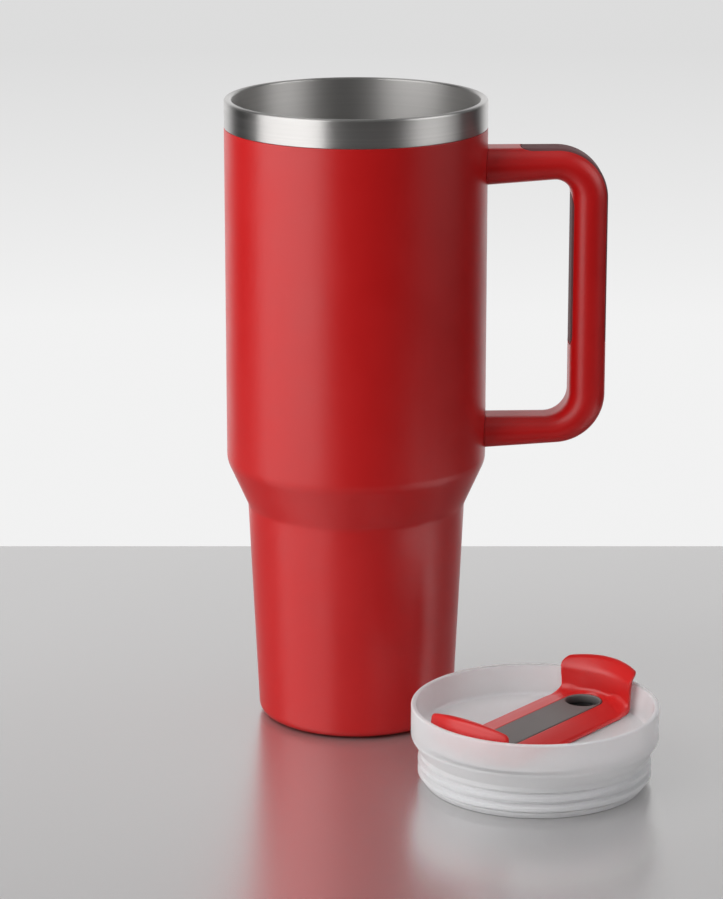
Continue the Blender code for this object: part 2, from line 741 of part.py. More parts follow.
def make_cover_inlay(axis):
    """The strip let into the cover, with a collar that lines the straw hole."""
    line = stadium(INLAY_WIDTH / 2, HOLE_PLACE, INLAY_NEAR)
    middle = BAR_TOP - INLAY_THICKNESS / 2
    inlay = slab("cover_inlay", line, INLAY_THICKNESS / 2, Matrix.Translation((0, 0, middle)))
    collar = disc("inlay_collar", COLLAR_RADIUS, BAR_BOTTOM, middle, SMALL_FACETS)
    hole = disc("straw_hole", HOLE_RADIUS, BAR_BOTTOM - OVERCUT, BAR_TOP + OVERCUT, SMALL_FACETS)
    for obj in (collar, hole):
        obj.location.x = HOLE_PLACE
    combine(inlay, add_cutter(collar, axis), "UNION")
    combine(inlay, add_cutter(hole, axis))
    add_part(inlay, paint("inlay_grey", (0.16, 0.15, 0.15), 0.55), axis)


def make_pivot(axis):
    washer_top = DECK_BOTTOM - FIT
    washer_low = washer_top - WASHER_THICKNESS
    clip_top = washer_low - FIT
    clip_low = clip_top - CLIP_THICKNESS
    head_low = POCKET_FLOOR - PIN_HEAD
    outline = [
        (0, POCKET_FLOOR),
        (PIN_HEAD_RADIUS, POCKET_FLOOR),
        (PIN_HEAD_RADIUS, head_low),
        (PIN_RADIUS, head_low),
        (PIN_RADIUS, clip_low - PIN_TAIL),
        (0, clip_low - PIN_TAIL),
    ]
    pin = turned("pivot_pin", outline, False, SMALL_FACETS)
    add_part(pin, paint("pin_steel", (0.55, 0.55, 0.54), 0.30, 1.0), axis)
    washer = tube("pivot_washer", PIN_RADIUS + FIT, WASHER_RADIUS, washer_low, washer_top, SMALL_FACETS)
    add_part(washer, paint("washer_nylon", (0.70, 0.70, 0.68), 0.50), axis)
    clip = tube("retaining_clip", PIN_RADIUS + FIT, CLIP_RADIUS, clip_low, clip_top, SMALL_FACETS)
    add_part(clip, paint("clip_steel", (0.45, 0.45, 0.44), 0.35, 1.0), axis)


clear_scene()
PARTS = new_collection("insulated_travel_mug", bpy.context.scene.collection)
CUTTERS = new_collection("cutters", bpy.context.scene.collection)
make_outer_shell()
make_mouth_ring()
make_inner_liner()
make_copper_wrap()
make_bottom()
make_handle()
lid_axis = add_lid_axis()
make_lid_body(lid_axis)
make_lid_gasket(lid_axis)
make_rotary_cover(lid_axis)
make_cover_inlay(lid_axis)
make_pivot(lid_axis)
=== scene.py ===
"""Insulated travel mug with its lid set down beside it, dressed for a studio picture.

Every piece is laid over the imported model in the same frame: metres, +Z up, the mug's axis on Z and
the handle towards +X. The lid and its turning cover stand on their own axis in front of the mug.
"""

import json
from math import cos, pi, radians, sin, sqrt, tan

import bmesh
import bpy
import numpy as np
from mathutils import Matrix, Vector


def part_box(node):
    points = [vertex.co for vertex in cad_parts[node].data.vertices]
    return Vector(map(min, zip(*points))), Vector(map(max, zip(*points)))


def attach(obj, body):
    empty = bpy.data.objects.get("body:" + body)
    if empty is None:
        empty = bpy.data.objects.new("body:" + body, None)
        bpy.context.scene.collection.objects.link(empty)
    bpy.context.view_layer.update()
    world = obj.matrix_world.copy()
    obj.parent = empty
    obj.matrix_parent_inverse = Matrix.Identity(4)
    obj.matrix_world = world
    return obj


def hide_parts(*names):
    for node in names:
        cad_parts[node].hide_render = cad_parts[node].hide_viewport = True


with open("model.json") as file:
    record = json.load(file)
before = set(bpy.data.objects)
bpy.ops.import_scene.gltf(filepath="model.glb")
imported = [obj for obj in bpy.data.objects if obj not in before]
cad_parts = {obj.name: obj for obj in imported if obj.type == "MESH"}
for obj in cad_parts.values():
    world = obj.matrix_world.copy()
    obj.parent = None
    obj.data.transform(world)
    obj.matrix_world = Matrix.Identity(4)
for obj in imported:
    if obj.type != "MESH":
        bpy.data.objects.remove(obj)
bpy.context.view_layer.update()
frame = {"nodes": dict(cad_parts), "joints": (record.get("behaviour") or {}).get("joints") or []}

import openvdb
from bpy.props import FloatProperty, FloatVectorProperty, IntProperty, PointerProperty
from mathutils import Matrix, Vector

bl_info = {
    "name": "Insulated travel mug",
    "version": (1, 0, 0),
    "blender": (4, 5, 0),
    "location": "View3D > Sidebar > Mug",
    "description": "Builds a steel travel mug with its handle, lid and cover over a packed model",
    "category": "Object",
}

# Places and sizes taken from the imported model
BAND_LOW, BAND_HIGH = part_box("mouth_ring")
SHELL_LOW, SHELL_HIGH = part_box("outer_shell")
LINER_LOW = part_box("inner_liner")[0]
COVER_PLATE_LOW, COVER_PLATE_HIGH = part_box("base_cover")
PAD_LOW, PAD_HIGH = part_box("base_pad")
HANDLE_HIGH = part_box("handle_shell")[1]
OUTER_STRIP_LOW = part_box("outer_grip")[0]
INNER_STRIP_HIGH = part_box("inner_grip")[1]
SCREW_BOXES = [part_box("upper_screw"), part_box("lower_screw")]
LID_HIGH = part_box("lid_body")[1]
GASKET_LOW, GASKET_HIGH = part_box("lid_gasket")
SLEEVE_LOW, SLEEVE_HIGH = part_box("spout_gasket")
PIN_LOW, PIN_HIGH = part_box("pivot_pin")
WASHER_LOW, WASHER_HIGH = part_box("pivot_washer")
CLIP_LOW, CLIP_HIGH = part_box("retaining_clip")
COVER_LOW, COVER_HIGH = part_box("rotary_cover")
COVER_TURN = next(joint for joint in frame["joints"] if joint["name"] == "cover_turn")
LID_AXIS = Vector((COVER_TURN["pos_m"][0], COVER_TURN["pos_m"][1], 0))

# Roundings of small edges, and the distances within which points are one
FINE_EDGE = 0.0001
EDGE = 0.0002
SOFT_EDGE = 0.0003
ROUND_EDGE = 0.0004
WELD = 0.0000005
MERGE = 0.000002

# Body
RADIUS = SHELL_HIGH.x
HEIGHT = BAND_HIGH.z
SHEET = 0.0006
LINE_GAP = 0.00012
LIP_WIDTH = 0.00295
LIP_ROUND = 0.0008
COAT_EDGE = 0.00025
WAIST_RADIUS = 0.0420
BASE_RADIUS = 0.0380
SHOULDER_TOP = 0.1032
WAIST_HEIGHT = 0.0854
SHOULDER_ROUND = 0.0100
WAIST_ROUND = 0.0060
FOOT_ROUND = 0.0036
FOOT_RIM = 0.0040
SEAT_DEPTH = 0.0165
SEAT_DROP = 0.0062
SEAT_ROUND = 0.0020
BORE_ROUND = 0.0030
BORE_RADIUS = 0.04385
LINER_GAP = 0.0048
FLOOR_ROUND = 0.0080
LINER_ROUND = 0.0060

# Handle
ARM_ROOT = 0.0400
FLARE_ROOT = 0.0480
GRIP_THICKNESS = 0.0139
HANDLE_CREST = 0.0004
UPPER_ARM = 0.0116
UPPER_FLARE = 0.0025
LOWER_ARM = 0.0092
LOWER_FLARE = 0.0030
HANDLE_BOTTOM = 0.1106
OUTER_CORNER = 0.0195
INNER_TOP_CORNER = 0.0065
INNER_LOW_CORNER = 0.0095
CROWN_SIDE = 0.0066
ARM_STEPS = 12
GRIP_STEPS = 24
CORNER_STEPS = 24
FLAT_STEPS = 6
STRIP_HALF = 0.0066
STRIP_GAP = 0.00034
STRIP_CORNER = 0.0040
STRIP_END_STEPS = 11
STRIP_STEPS = 24
STRIP_ACROSS = 17
EDGE_SHARES = (0.0, 0.05, 0.2, 0.5, 1.0)
STRIP_EDGE = 0.00035
STRIP_SET = 0.00005
STRIP_DEPTH = 0.0015
STRIP_GROOVE = 0.0016
GROOVE_RISE = 0.002
BODY_CUT_LOW = 0.05
SCREW_HEAD = 0.0014
SCREW_HEAD_EDGE = 0.0005
SCREW_SHANK = 0.0013
SCREW_CLEAR = 0.004
SLOT_SIZE = (0.0030, 0.0007, 0.0018, 1)
SCREW_FACETS = 48

# Lid
RIM_WALL = 0.0019
RIM_DRAFT = 0.0012
RIM_ROUND = 0.0007
CHAMFER_TOP = 0.0176
CHAMFER_BOTTOM = 0.0126
CHAMFER_ROUND = 0.0030
GROOVE_TOP = 0.0105
CHAMFER_STEP = 0.0031
PLUG_WALL = 0.0020
PLUG_TOE = 0.0018
PLUG_FLANGE = 0.0026
PLUG_ROUND = 0.0010
TOE_ROUND = 0.0006
PLUG_FINISH_TOP = CHAMFER_TOP + 0.0009
GROOVE_DEPTH = 0.0021
DECK_TOP = 0.0185
DECK_BOTTOM = 0.0155
DECK_ROUND = 0.0012
DECK_CLEAR = 0.002
FLANGE_WIDTH = 0.0016
FLANGE_THICKNESS = 0.0012
GASKET_WALL = 0.0015
RIB_HEIGHTS = (0.0081, 0.0043)
RIB_HALF = 0.0015
RIB_VALLEY = 0.0007

# Turning cover, in its own frame: X along the bar towards the tall tab
COVER_BEARING = radians(50.0)
COVER_RADIUS = 0.04235
BAR_BOTTOM = COVER_LOW.z
BAR_TOP = 0.0223
BAR_HALF = 0.0182
BAR_CROWN = 0.0086
BAR_SIDE = 0.0012
BAR_EDGE = 0.0016
BAR_TOP_EDGE = 0.0012
END_ROUND = 0.0042
TALL_TOP = COVER_HIGH.z
TALL_THICKNESS = 0.0024
LIP_HEIGHT = 0.0033
LIP_SLOPE = 1.05
LIP_BEND = 0.0011
TALL_BASE = 0.0159
TALL_HALF = 0.0172
TALL_TURN = radians(-2.8)
TALL_FOOT = 0.0035
TALL_CORNER = 0.0022
TALL_ARCH = 0.0017
TALL_CREST = 0.0010
TALL_FROM = 0.02
END_CORNER = 0.0026
BAR_CORNER = 0.0070
LOW_TOP = 0.0330
LOW_CHORD = 0.0382
LOW_HALF = 0.0186
LOW_TURN = radians(-4.2)
LOW_BOW = 4.6
LOW_CORNER = 0.0018
LOW_LEAN = 0.18
LOW_LEAN_DROP = 0.0050
LEAF_EDGE = 0.0005
LOW_ARCH = 0.0008
LOW_FALL = 0.0016
TAB_EDGE = 0.0010
SCOOP_SIDE = 0.0050
SCOOP_MIDDLE = 0.0024
SCOOP_FROM = 0.0060
SCOOP_OVER = 0.0055
INLAY_HALF = 0.0073
INLAY_NEAR = -0.0337
INLAY_THICKNESS = 0.0010
COLLAR_LAP = 0.0004
# Painted shade: the depths between which the inlay and sleeve rubber darkens down in the hole, and
# the darkest share of its colour
PAINTED_SHADE_DEEP = BAR_TOP - 0.0036
PAINTED_SHADE_TOP = BAR_TOP - 0.0006
PAINTED_SHADE_DARKEST = 0.10
HOLE_PLACE = 0.0314
HOLE_RADIUS = 0.0065
COLLAR_RADIUS = 0.0071
PIN_HEAD = 0.0007
PIN_POCKET = 0.0010
PIN_FACETS = 64
FIT = 0.0003
VOXEL = 0.00032
COVER_SPACE = ((-0.046, -0.024, BAR_BOTTOM - 0.002), (0.050, 0.024, TALL_TOP + 0.003))
INLAY_SPACE = ((-0.036, -0.010, BAR_BOTTOM - 0.001), (0.042, 0.010, BAR_TOP + 0.001))

# Finishes: spread of the gloss, painted light that makes the liner lighter than the band, and
# clearness of the frosted pieces
NOISE_MIDDLE = (0.3, 0.7)
MOULDED_GLOSS = 0.02
BRUSHED_GLOSS = 0.04
LINER_PAINTED_LIGHT = 1.12
LID_CLEAR = 0.56
PLUG_CLEAR = 0.35
GASKET_CLEAR = 0.46
GASKET_TINT = (0.97, 0.97, 0.98)

# Camera, for a picture of 723 x 899
CAMERA_BEARING = radians(-2.0)
CAMERA_TILT = radians(74.741)
CAMERA_PLACE = (-0.04285, -1.2907, 0.45812)
CAMERA_SHIFT = -0.0004
FOCAL_PIXELS = 3450.5
PICTURE_HEIGHT = 899
SENSOR = 36.0

# Floor, and lamps: bearing from the camera's side, distance, width, lower and upper edge
FLOOR_CORNERS = ((-0.9, -0.36), (0.34, -0.36), (0.34, 0.22), (-0.9, 0.22))
FLOOR_DROP = 0.00005
FLOOR_TINT = (0.72, 0.71, 0.71)
LAMPS = {
    "key": (-61.5, 1.1, 1.40, -0.30, 2.20),
    "fill": (73.0, 1.1, 0.95, 0.02, 0.62),
    "top": (0.0, 0.0, 1.20, 1.00, 2.20),
}

# Surroundings: where each part starts and ends along a direction, and its strength at both
BACK_WALL = (0.62, 0.90, 0.02, 0.96)
WALL_FALL = (0.26, 0.46, 1.16, 0.32)
BACKDROP = (-0.225, -0.150, 0.885, 0.72)
OVERHEAD = (0.45, 0.95)
BELT_FOOT = (0.06, 0.16)
BELT_TOP = (0.50, 0.62, 1.0, 0.0)
PANEL_TOWARDS = (0.825, -0.300, 0.478)
PANEL_EDGE = (0.90, 0.945)
SEEN_THROUGH = 1.7


def length_property(name, description, default):
    """A length that a user may change."""
    return FloatProperty(name=name, description=description, default=default, unit="LENGTH")


class MugSizes(bpy.types.PropertyGroup):
    """Sizes and fineness that a user may change."""

    facets: IntProperty(
        name="Facets", description="Facets round the large turned pieces", default=192
    )
    grain: length_property("Coat grain", "Depth of the coat's fine grain", 0.00004)
    scoop: length_property("Scoop", "Radius where the tabs run into the bar", SCOOP_SIDE)


def colour_property(name, description, default):
    """A colour that a user may change."""
    return FloatVectorProperty(
        name=name, description=description, default=default, size=3, min=0, max=1, subtype="COLOR"
    )


class MugColours(bpy.types.PropertyGroup):
    """Colours of the finishes, linear."""

    coat: colour_property("Coat", "Powder coat of the body", (0.55, 0.0058, 0.0063))
    handle: colour_property("Handle", "Moulded handle", (0.59, 0.0055, 0.0060))
    cover: colour_property("Cover", "Turning cover of the lid", (0.62, 0.016, 0.015))
    grip: colour_property("Grip", "Soft strips of the handle", (0.145, 0.046, 0.050))
    inlay: colour_property("Inlay", "Strip let into the cover", (0.175, 0.164, 0.160))
    steel: colour_property("Steel", "Bare steel", (0.47, 0.46, 0.45))
    lid: colour_property("Lid", "Frosted lid", (0.97, 0.97, 0.98))


def strength_property(name, description, default):
    """A strength that a user may change."""
    return FloatProperty(name=name, description=description, default=default, min=0)


class MugStudio(bpy.types.PropertyGroup):
    """Strength of the lights and of what shows in reflections."""

    key: strength_property("Key", "Radiance of the left light", 2.4)
    fill: strength_property("Fill", "Radiance of the right light", 0.72)
    top: strength_property("Top", "Radiance of the light above", 0.3)
    ambient: strength_property("Ambient", "Light from all round", 0.08)
    sky: strength_property("Sky", "Soft light from above", 0.62)
    ceiling: strength_property("Ceiling", "Reflection of the ceiling", 0.04)
    walls: strength_property("Walls", "Reflection of the walls all round", 0.30)
    panel: strength_property("Panel", "Reflection of the right panel", 2.5)


# Outlines

def rounded(corners, steps=7):
    """Points of an outline whose corners (x, y, radius) become arcs."""
    points = []
    for index, (x, y, radius) in enumerate(corners):
        corner = Vector((x, y))
        if radius == 0:
            points.append(corner)
            continue
        before = (Vector(corners[index - 1][:2]) - corner).normalized()
        after = (Vector(corners[(index + 1) % len(corners)][:2]) - corner).normalized()
        half = before.angle(after) / 2
        centre = corner + (before + after).normalized() * radius / sin(half)
        first = corner + before * radius / tan(half) - centre
        last = corner + after * radius / tan(half) - centre
        for step in range(steps + 1):
            points.append(centre + first.slerp(last, step / steps).normalized() * radius)
    return points


def disc(radius, low, high, upper=0, lower=0):
    """Corners of a solid disc, with the roundings of its upper and lower edge."""
    return [(0, high, 0), (radius, high, upper), (radius, low, lower), (0, low, 0)]


def supported(points, closed, margin=0.0003):
    """Adds a point close to each end of the long straights, so that shading stays flat there."""
    result = []
    count = len(points)
    for index, point in enumerate(points):
        result.append(point)
        if index == count - 1 and not closed:
            break
        ahead = points[(index + 1) % count]
        length = (ahead - point).length
        if length > 4 * margin:
            result.append(point.lerp(ahead, margin / length))
            result.append(point.lerp(ahead, 1 - margin / length))
    if closed:
        result.append(points[0])
    return result


# Meshes and Geometry Nodes

def new_object(name, data):
    """An object for a mesh, lamp or camera, linked to the scene."""
    obj = bpy.data.objects.new(name, data)
    bpy.context.scene.collection.objects.link(obj)
    return obj


def tidy_mesh(mesh, angle=None):
    """Welds a closed mesh, turns its faces outwards and shades it smooth, sharp past an angle."""
    form = bmesh.new()
    form.from_mesh(mesh)
    bmesh.ops.remove_doubles(form, verts=form.verts, dist=WELD)
    bmesh.ops.recalc_face_normals(form, faces=form.faces)
    form.to_mesh(mesh)
    form.free()
    mesh.shade_smooth()
    if angle is not None:
        mesh.set_sharp_from_angle(angle=radians(angle))
    return mesh


def baked(obj, angle=None):
    """Turns an object's evaluated shape into its plain mesh and takes its modifiers off."""
    bpy.context.view_layer.update()
    evaluated = obj.evaluated_get(bpy.context.evaluated_depsgraph_get())
    mesh = bpy.data.meshes.new_from_object(evaluated)
    finishes = [material for material in mesh.materials if material]
    mesh.materials.clear()
    for material in finishes[:1]:
        mesh.materials.append(material)
    obj.modifiers.clear()
    old = obj.data
    obj.data = tidy_mesh(mesh, angle)
    bpy.data.meshes.remove(old)
    obj.data.name = obj.name
    return obj


def add_node(tree, kind, settings=None, **values):
    """A node with its settings, and its inputs linked or set by name."""
    node = tree.nodes.new(kind)
    for key, value in (settings or {}).items():
        setattr(node, key, value)
    for key, value in values.items():
        socket = node.inputs[key.replace("_", " ")]
        if isinstance(value, bpy.types.NodeSocket):
            tree.links.new(value, socket)
        else:
            socket.default_value = value
    return node


def maths(tree, operation, *values):
    """The output of a Math node."""
    node = tree.nodes.new("ShaderNodeMath")
    node.operation = operation
    for socket, value in zip(node.inputs, values):
        if isinstance(value, bpy.types.NodeSocket):
            tree.links.new(value, socket)
        else:
            socket.default_value = value
    return node.outputs[0]


def ramp(tree, value, start, end, low=0.0, high=1.0, kind="SMOOTHSTEP"):
    """A number from low to high as a value goes from start to end."""
    node = add_node(
        tree, "ShaderNodeMapRange", {"interpolation_type": kind},
        Value=value, From_Min=start, From_Max=end, To_Min=low, To_Max=high,
    )
    return node.outputs[0]


def new_form_tree(name, inputs):
    """An empty Geometry Nodes tree with named inputs, its input node and its output socket."""
    tree = bpy.data.node_groups.new(name, "GeometryNodeTree")
    tree.interface.new_socket("Geometry", in_out="INPUT", socket_type="NodeSocketGeometry")
    for label, kind in inputs:
        tree.interface.new_socket(label, in_out="INPUT", socket_type=kind)
    tree.interface.new_socket("Geometry", in_out="OUTPUT", socket_type="NodeSocketGeometry")
    return tree, tree.nodes.new("NodeGroupInput").outputs


def close_form_tree(tree, geometry, finish):
    """Ends a tree in plain geometry with its finish."""
    real = add_node(tree, "GeometryNodeRealizeInstances", Geometry=geometry)
    painted = add_node(tree, "GeometryNodeSetMaterial", Geometry=real.outputs[0], Material=finish)
    output = tree.nodes.new("NodeGroupOutput")
    tree.links.new(painted.outputs[0], output.inputs[0])


def turned_tree():
    """A profile of points in the XZ plane, turned round Z and moved to its centre."""
    name = "Turned form"
    if name in bpy.data.node_groups:
        return bpy.data.node_groups[name]
    inputs = [
        ("Facets", "NodeSocketInt"),
        ("Centre", "NodeSocketVector"),
        ("Finish", "NodeSocketMaterial"),
    ]
    tree, given = new_form_tree(name, inputs)
    size = add_node(tree, "GeometryNodeAttributeDomainSize", Geometry=given["Geometry"])
    count = size.outputs["Point Count"]
    columns = maths(tree, "ADD", given["Facets"], 1.0)
    grid = add_node(tree, "GeometryNodeMeshGrid", Vertices_X=columns, Vertices_Y=count)
    index = tree.nodes.new("GeometryNodeInputIndex").outputs[0]
    row = maths(tree, "MODULO", index, count)
    column = maths(tree, "FLOOR", maths(tree, "DIVIDE", index, count))
    place = tree.nodes.new("GeometryNodeInputPosition").outputs[0]
    sample = tree.nodes.new("GeometryNodeSampleIndex")
    sample.data_type = "FLOAT_VECTOR"
    tree.links.new(given["Geometry"], sample.inputs["Geometry"])
    tree.links.new(place, sample.inputs["Value"])
    tree.links.new(row, sample.inputs["Index"])
    angle = maths(tree, "DIVIDE", maths(tree, "MULTIPLY", column, 2 * pi), given["Facets"])
    turn = add_node(
        tree, "ShaderNodeVectorRotate", {"rotation_type": "Z_AXIS"},
        Vector=sample.outputs[0], Angle=angle,
    )
    shaped = add_node(
        tree, "GeometryNodeSetPosition", Geometry=grid.outputs["Mesh"], Position=turn.outputs[0]
    )
    merged = add_node(
        tree, "GeometryNodeMergeByDistance", Geometry=shaped.outputs[0], Distance=MERGE
    )
    moved = add_node(
        tree, "GeometryNodeTransform", Geometry=merged.outputs[0], Translation=given["Centre"]
    )
    close_form_tree(tree, moved.outputs[0], given["Finish"])
    return tree


def placed_tree():
    """One object set down at each point."""
    name = "Placed copies"
    if name in bpy.data.node_groups:
        return bpy.data.node_groups[name]
    inputs = [("Piece", "NodeSocketObject"), ("Finish", "NodeSocketMaterial")]
    tree, given = new_form_tree(name, inputs)
    piece = add_node(tree, "GeometryNodeObjectInfo", Object=given["Piece"])
    copies = add_node(
        tree, "GeometryNodeInstanceOnPoints",
        Points=given["Geometry"], Instance=piece.outputs["Geometry"],
    )
    close_form_tree(tree, copies.outputs[0], given["Finish"])
    return tree


def apply_tree(obj, tree, **values):
    """Runs a tree on an object with its inputs set by their identifiers, and keeps the result."""
    modifier = obj.modifiers.new(tree.name, "NODES")
    modifier.node_group = tree
    for item in tree.interface.items_tree:
        if item.in_out == "INPUT" and item.name in values:
            modifier[item.identifier] = values[item.name]
    return baked(obj)


def turned(name, corners, finish, centre=Vector(), closed=True, facets=None, steps=7):
    """A piece turned round its axis from an outline (radius, height, rounding)."""
    points = supported(rounded(corners, steps), closed)
    mesh = bpy.data.meshes.new(name)
    mesh.from_pydata([(point.x, 0, point.y) for point in points], [], [])
    obj = new_object(name, mesh)
    count = facets or bpy.context.scene.mug_sizes.facets
    return apply_tree(obj, turned_tree(), Facets=count, Centre=tuple(centre), Finish=finish)


def cut(obj, cutters, angle=30):
    """Takes shapes out of a piece in one step and removes them."""
    group = bpy.data.collections.new(obj.name + "_cutters")
    for cutter in cutters:
        group.objects.link(cutter)
    modifier = obj.modifiers.new("Cuts", "BOOLEAN")
    modifier.operation = "DIFFERENCE"
    modifier.operand_type = "COLLECTION"
    modifier.collection = group
    modifier.solver = "EXACT"
    baked(obj, angle)
    for cutter in cutters:
        bpy.data.objects.remove(cutter)
    bpy.data.collections.remove(group)
    return obj


def from_faces(name, points, faces, finish=None, angle=None):
    """A piece from points and faces."""
    mesh = bpy.data.meshes.new(name)
    mesh.from_pydata(points, [], faces)
    obj = new_object(name, tidy_mesh(mesh, angle))
    if finish:
        mesh.materials.append(finish)
    return obj


def from_field(name, field, low, finish, bearing, centre):
    """Meshes the zero level of a distance field that starts at low, and turns it to its bearing."""
    grid = openvdb.FloatGrid(background=float(field.max()))
    grid.copyFromArray(field.astype(np.float32))
    points, quads = grid.convertToQuads(isovalue=0.0)
    points = points * VOXEL + np.array(low)
    turn = np.array(Matrix.Rotation(bearing, 3, "Z"))
    points = points @ turn.T + np.array(centre)
    return from_faces(name, points.tolist(), quads.tolist(), finish)


def settle(obj, body, slot, *nodes):
    """Makes a finished piece ride on its body and stand for its nodes."""
    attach(obj, body)
    if nodes:
        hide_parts(*nodes)
    return obj


# Finishes

def new_group(name, inputs, outputs):
    """An empty shader node group with its input and output nodes."""
    tree = bpy.data.node_groups.new(name, "ShaderNodeTree")
    for label, default in inputs:
        socket = tree.interface.new_socket(label, in_out="INPUT", socket_type="NodeSocketFloat")
        socket.default_value = default
    for label in outputs:
        tree.interface.new_socket(label, in_out="OUTPUT", socket_type="NodeSocketFloat")
    return tree, tree.nodes.new("NodeGroupInput").outputs, tree.nodes.new("NodeGroupOutput").inputs


def fine_grain():
    """Fine moulded or sprayed grain: its height, and a soft mottle for colour and gloss."""
    name = "Fine grain"
    if name in bpy.data.node_groups:
        return bpy.data.node_groups[name]
    tree, given, out = new_group(name, [("Scale", 3000.0), ("Mottle", 60.0)], ["Height", "Mottle"])
    place = tree.nodes.new("ShaderNodeTexCoord").outputs["Object"]
    grain = add_node(
        tree, "ShaderNodeTexNoise", Vector=place, Scale=given["Scale"], Detail=2.0, Roughness=0.6
    )
    soft = add_node(tree, "ShaderNodeTexNoise", Vector=place, Scale=given["Mottle"], Detail=1.0)
    tree.links.new(grain.outputs[0], out["Height"])
    tree.links.new(soft.outputs[0], out["Mottle"])
    return tree


def turned_brushing():
    """Fine streaks that run round Z: their height, and a mask of lighter and darker lines."""
    name = "Turned brushing"
    if name in bpy.data.node_groups:
        return bpy.data.node_groups[name]
    tree, given, out = new_group(name, [("Along", 25.0), ("Across", 5000.0)], ["Height", "Lines"])
    place = tree.nodes.new("ShaderNodeTexCoord").outputs["Object"]
    parts = add_node(tree, "ShaderNodeSeparateXYZ", Vector=place)
    x = maths(tree, "MULTIPLY", parts.outputs[0], given["Along"])
    y = maths(tree, "MULTIPLY", parts.outputs[1], given["Along"])
    flat = add_node(tree, "ShaderNodeCombineXYZ", X=parts.outputs[0], Y=parts.outputs[1])
    reach = add_node(tree, "ShaderNodeVectorMath", {"operation": "LENGTH"})
    tree.links.new(flat.outputs[0], reach.inputs[0])
    rise = maths(tree, "ADD", parts.outputs[2], reach.outputs["Value"])
    z = maths(tree, "MULTIPLY", rise, given["Across"])
    streak = add_node(tree, "ShaderNodeCombineXYZ", X=x, Y=y, Z=z)
    fine = add_node(tree, "ShaderNodeTexNoise", Vector=streak.outputs[0], Scale=1.0, Detail=3.0)
    broad = add_node(tree, "ShaderNodeTexNoise", Vector=streak.outputs[0], Scale=0.22, Detail=2.0)
    tree.links.new(fine.outputs[0], out["Height"])
    tree.links.new(broad.outputs[0], out["Lines"])
    return tree


def new_finish(name):
    """An empty material, its tree and its shader."""
    material = bpy.data.materials.new(name)
    material.use_nodes = True
    tree = material.node_tree
    return material, tree, tree.nodes["Principled BSDF"]


def vary(tree, value, low, high):
    """A number from low to high over the middle of a noise."""
    return ramp(tree, value, *NOISE_MIDDLE, low, high, "LINEAR")


def tinted(tree, value, colour, spread):
    """A colour that gets lighter and darker with a value."""
    tint = add_node(tree, "ShaderNodeVectorMath", {"operation": "SCALE"})
    tint.inputs[0].default_value = tuple(colour)
    tree.links.new(vary(tree, value, 1 - spread, 1 + spread), tint.inputs["Scale"])
    return tint.outputs[0]


def set_plain(shader, **values):
    """Sets a shader's own sockets, which are the same all over the surface."""
    for key, value in values.items():
        shader.inputs[key.replace("_", " ")].default_value = value


def add_bump(tree, shader, height, strength, depth):
    """Raises the surface by a height from 0 to depth."""
    bump = add_node(tree, "ShaderNodeBump", Strength=strength, Distance=depth, Height=height)
    tree.links.new(bump.outputs[0], shader.inputs["Normal"])


def moulded(name, colour, rough, scale=3000.0, depth=0.00005, spread=0.04, mottle=60.0, **plain):
    """Plastic, rubber or paint with a fine grain and a faint mottle."""
    material, tree, shader = new_finish(name)
    grain = tree.nodes.new("ShaderNodeGroup")
    grain.node_tree = fine_grain()
    grain.inputs["Scale"].default_value = scale
    grain.inputs["Mottle"].default_value = mottle
    soft = grain.outputs["Mottle"]
    tree.links.new(tinted(tree, soft, colour, spread), shader.inputs["Base Color"])
    gloss = vary(tree, soft, rough - MOULDED_GLOSS, rough + MOULDED_GLOSS)
    tree.links.new(gloss, shader.inputs["Roughness"])
    add_bump(tree, shader, grain.outputs["Height"], strength=0.5, depth=depth)
    set_plain(shader, **plain)
    return material


def brushed(name, colour, rough, across=5000.0, depth=0.000006, spread=0.06, **plain):
    """Turned and brushed metal, its gloss drawn out across the streaks."""
    material, tree, shader = new_finish(name)
    streaks = tree.nodes.new("ShaderNodeGroup")
    streaks.node_tree = turned_brushing()
    streaks.inputs["Across"].default_value = across
    lines = streaks.outputs["Lines"]
    tree.links.new(tinted(tree, lines, colour, spread), shader.inputs["Base Color"])
    gloss = vary(tree, lines, rough - BRUSHED_GLOSS, rough + BRUSHED_GLOSS)
    tree.links.new(gloss, shader.inputs["Roughness"])
    add_bump(tree, shader, streaks.outputs["Height"], strength=0.4, depth=depth)
    tangent = add_node(tree, "ShaderNodeTangent", {"direction_type": "RADIAL", "axis": "Z"})
    tree.links.new(tangent.outputs[0], shader.inputs["Tangent"])
    set_plain(shader, Metallic=1.0, **plain)
    return material


def finish(name, maker, *values, **options):
    """A material made once and shared by name."""
    return bpy.data.materials.get(name) or maker(name, *values, **options)


def brushed_steel():
    """The bare band and lip."""
    colour = bpy.context.scene.mug_colours.steel
    return finish(
        "brushed_steel", brushed, colour, rough=0.40, Anisotropic=0.92, Anisotropic_Rotation=0.25
    )


def liner_steel():
    """The inner wall, softer than the band, its steel colour made lighter as painted light inside
    the mug.
    """
    # Painted light: the band's steel colour scaled up so that the inside of the mug looks brighter
    colour = Vector(bpy.context.scene.mug_colours.steel) * LINER_PAINTED_LIGHT
    return finish(
        "liner_steel", brushed, colour, rough=0.60, Anisotropic=0.85, Anisotropic_Rotation=0.25
    )


def plain_steel():
    """Small turned steel pieces."""
    return finish("plain_steel", brushed, (0.52, 0.52, 0.51), rough=0.36, across=2500.0)


def red_plastic():
    """The moulded handle."""
    colour = bpy.context.scene.mug_colours.handle
    return finish(
        "handle_plastic", moulded, colour, rough=0.36, scale=2600.0, depth=0.00004, spread=0.03
    )


def soft_grip():
    """The strips of the handle."""
    colour = bpy.context.scene.mug_colours.grip
    return finish(
        "grip_soft", moulded, colour, rough=0.62, scale=4200.0, depth=0.00006, spread=0.06
    )


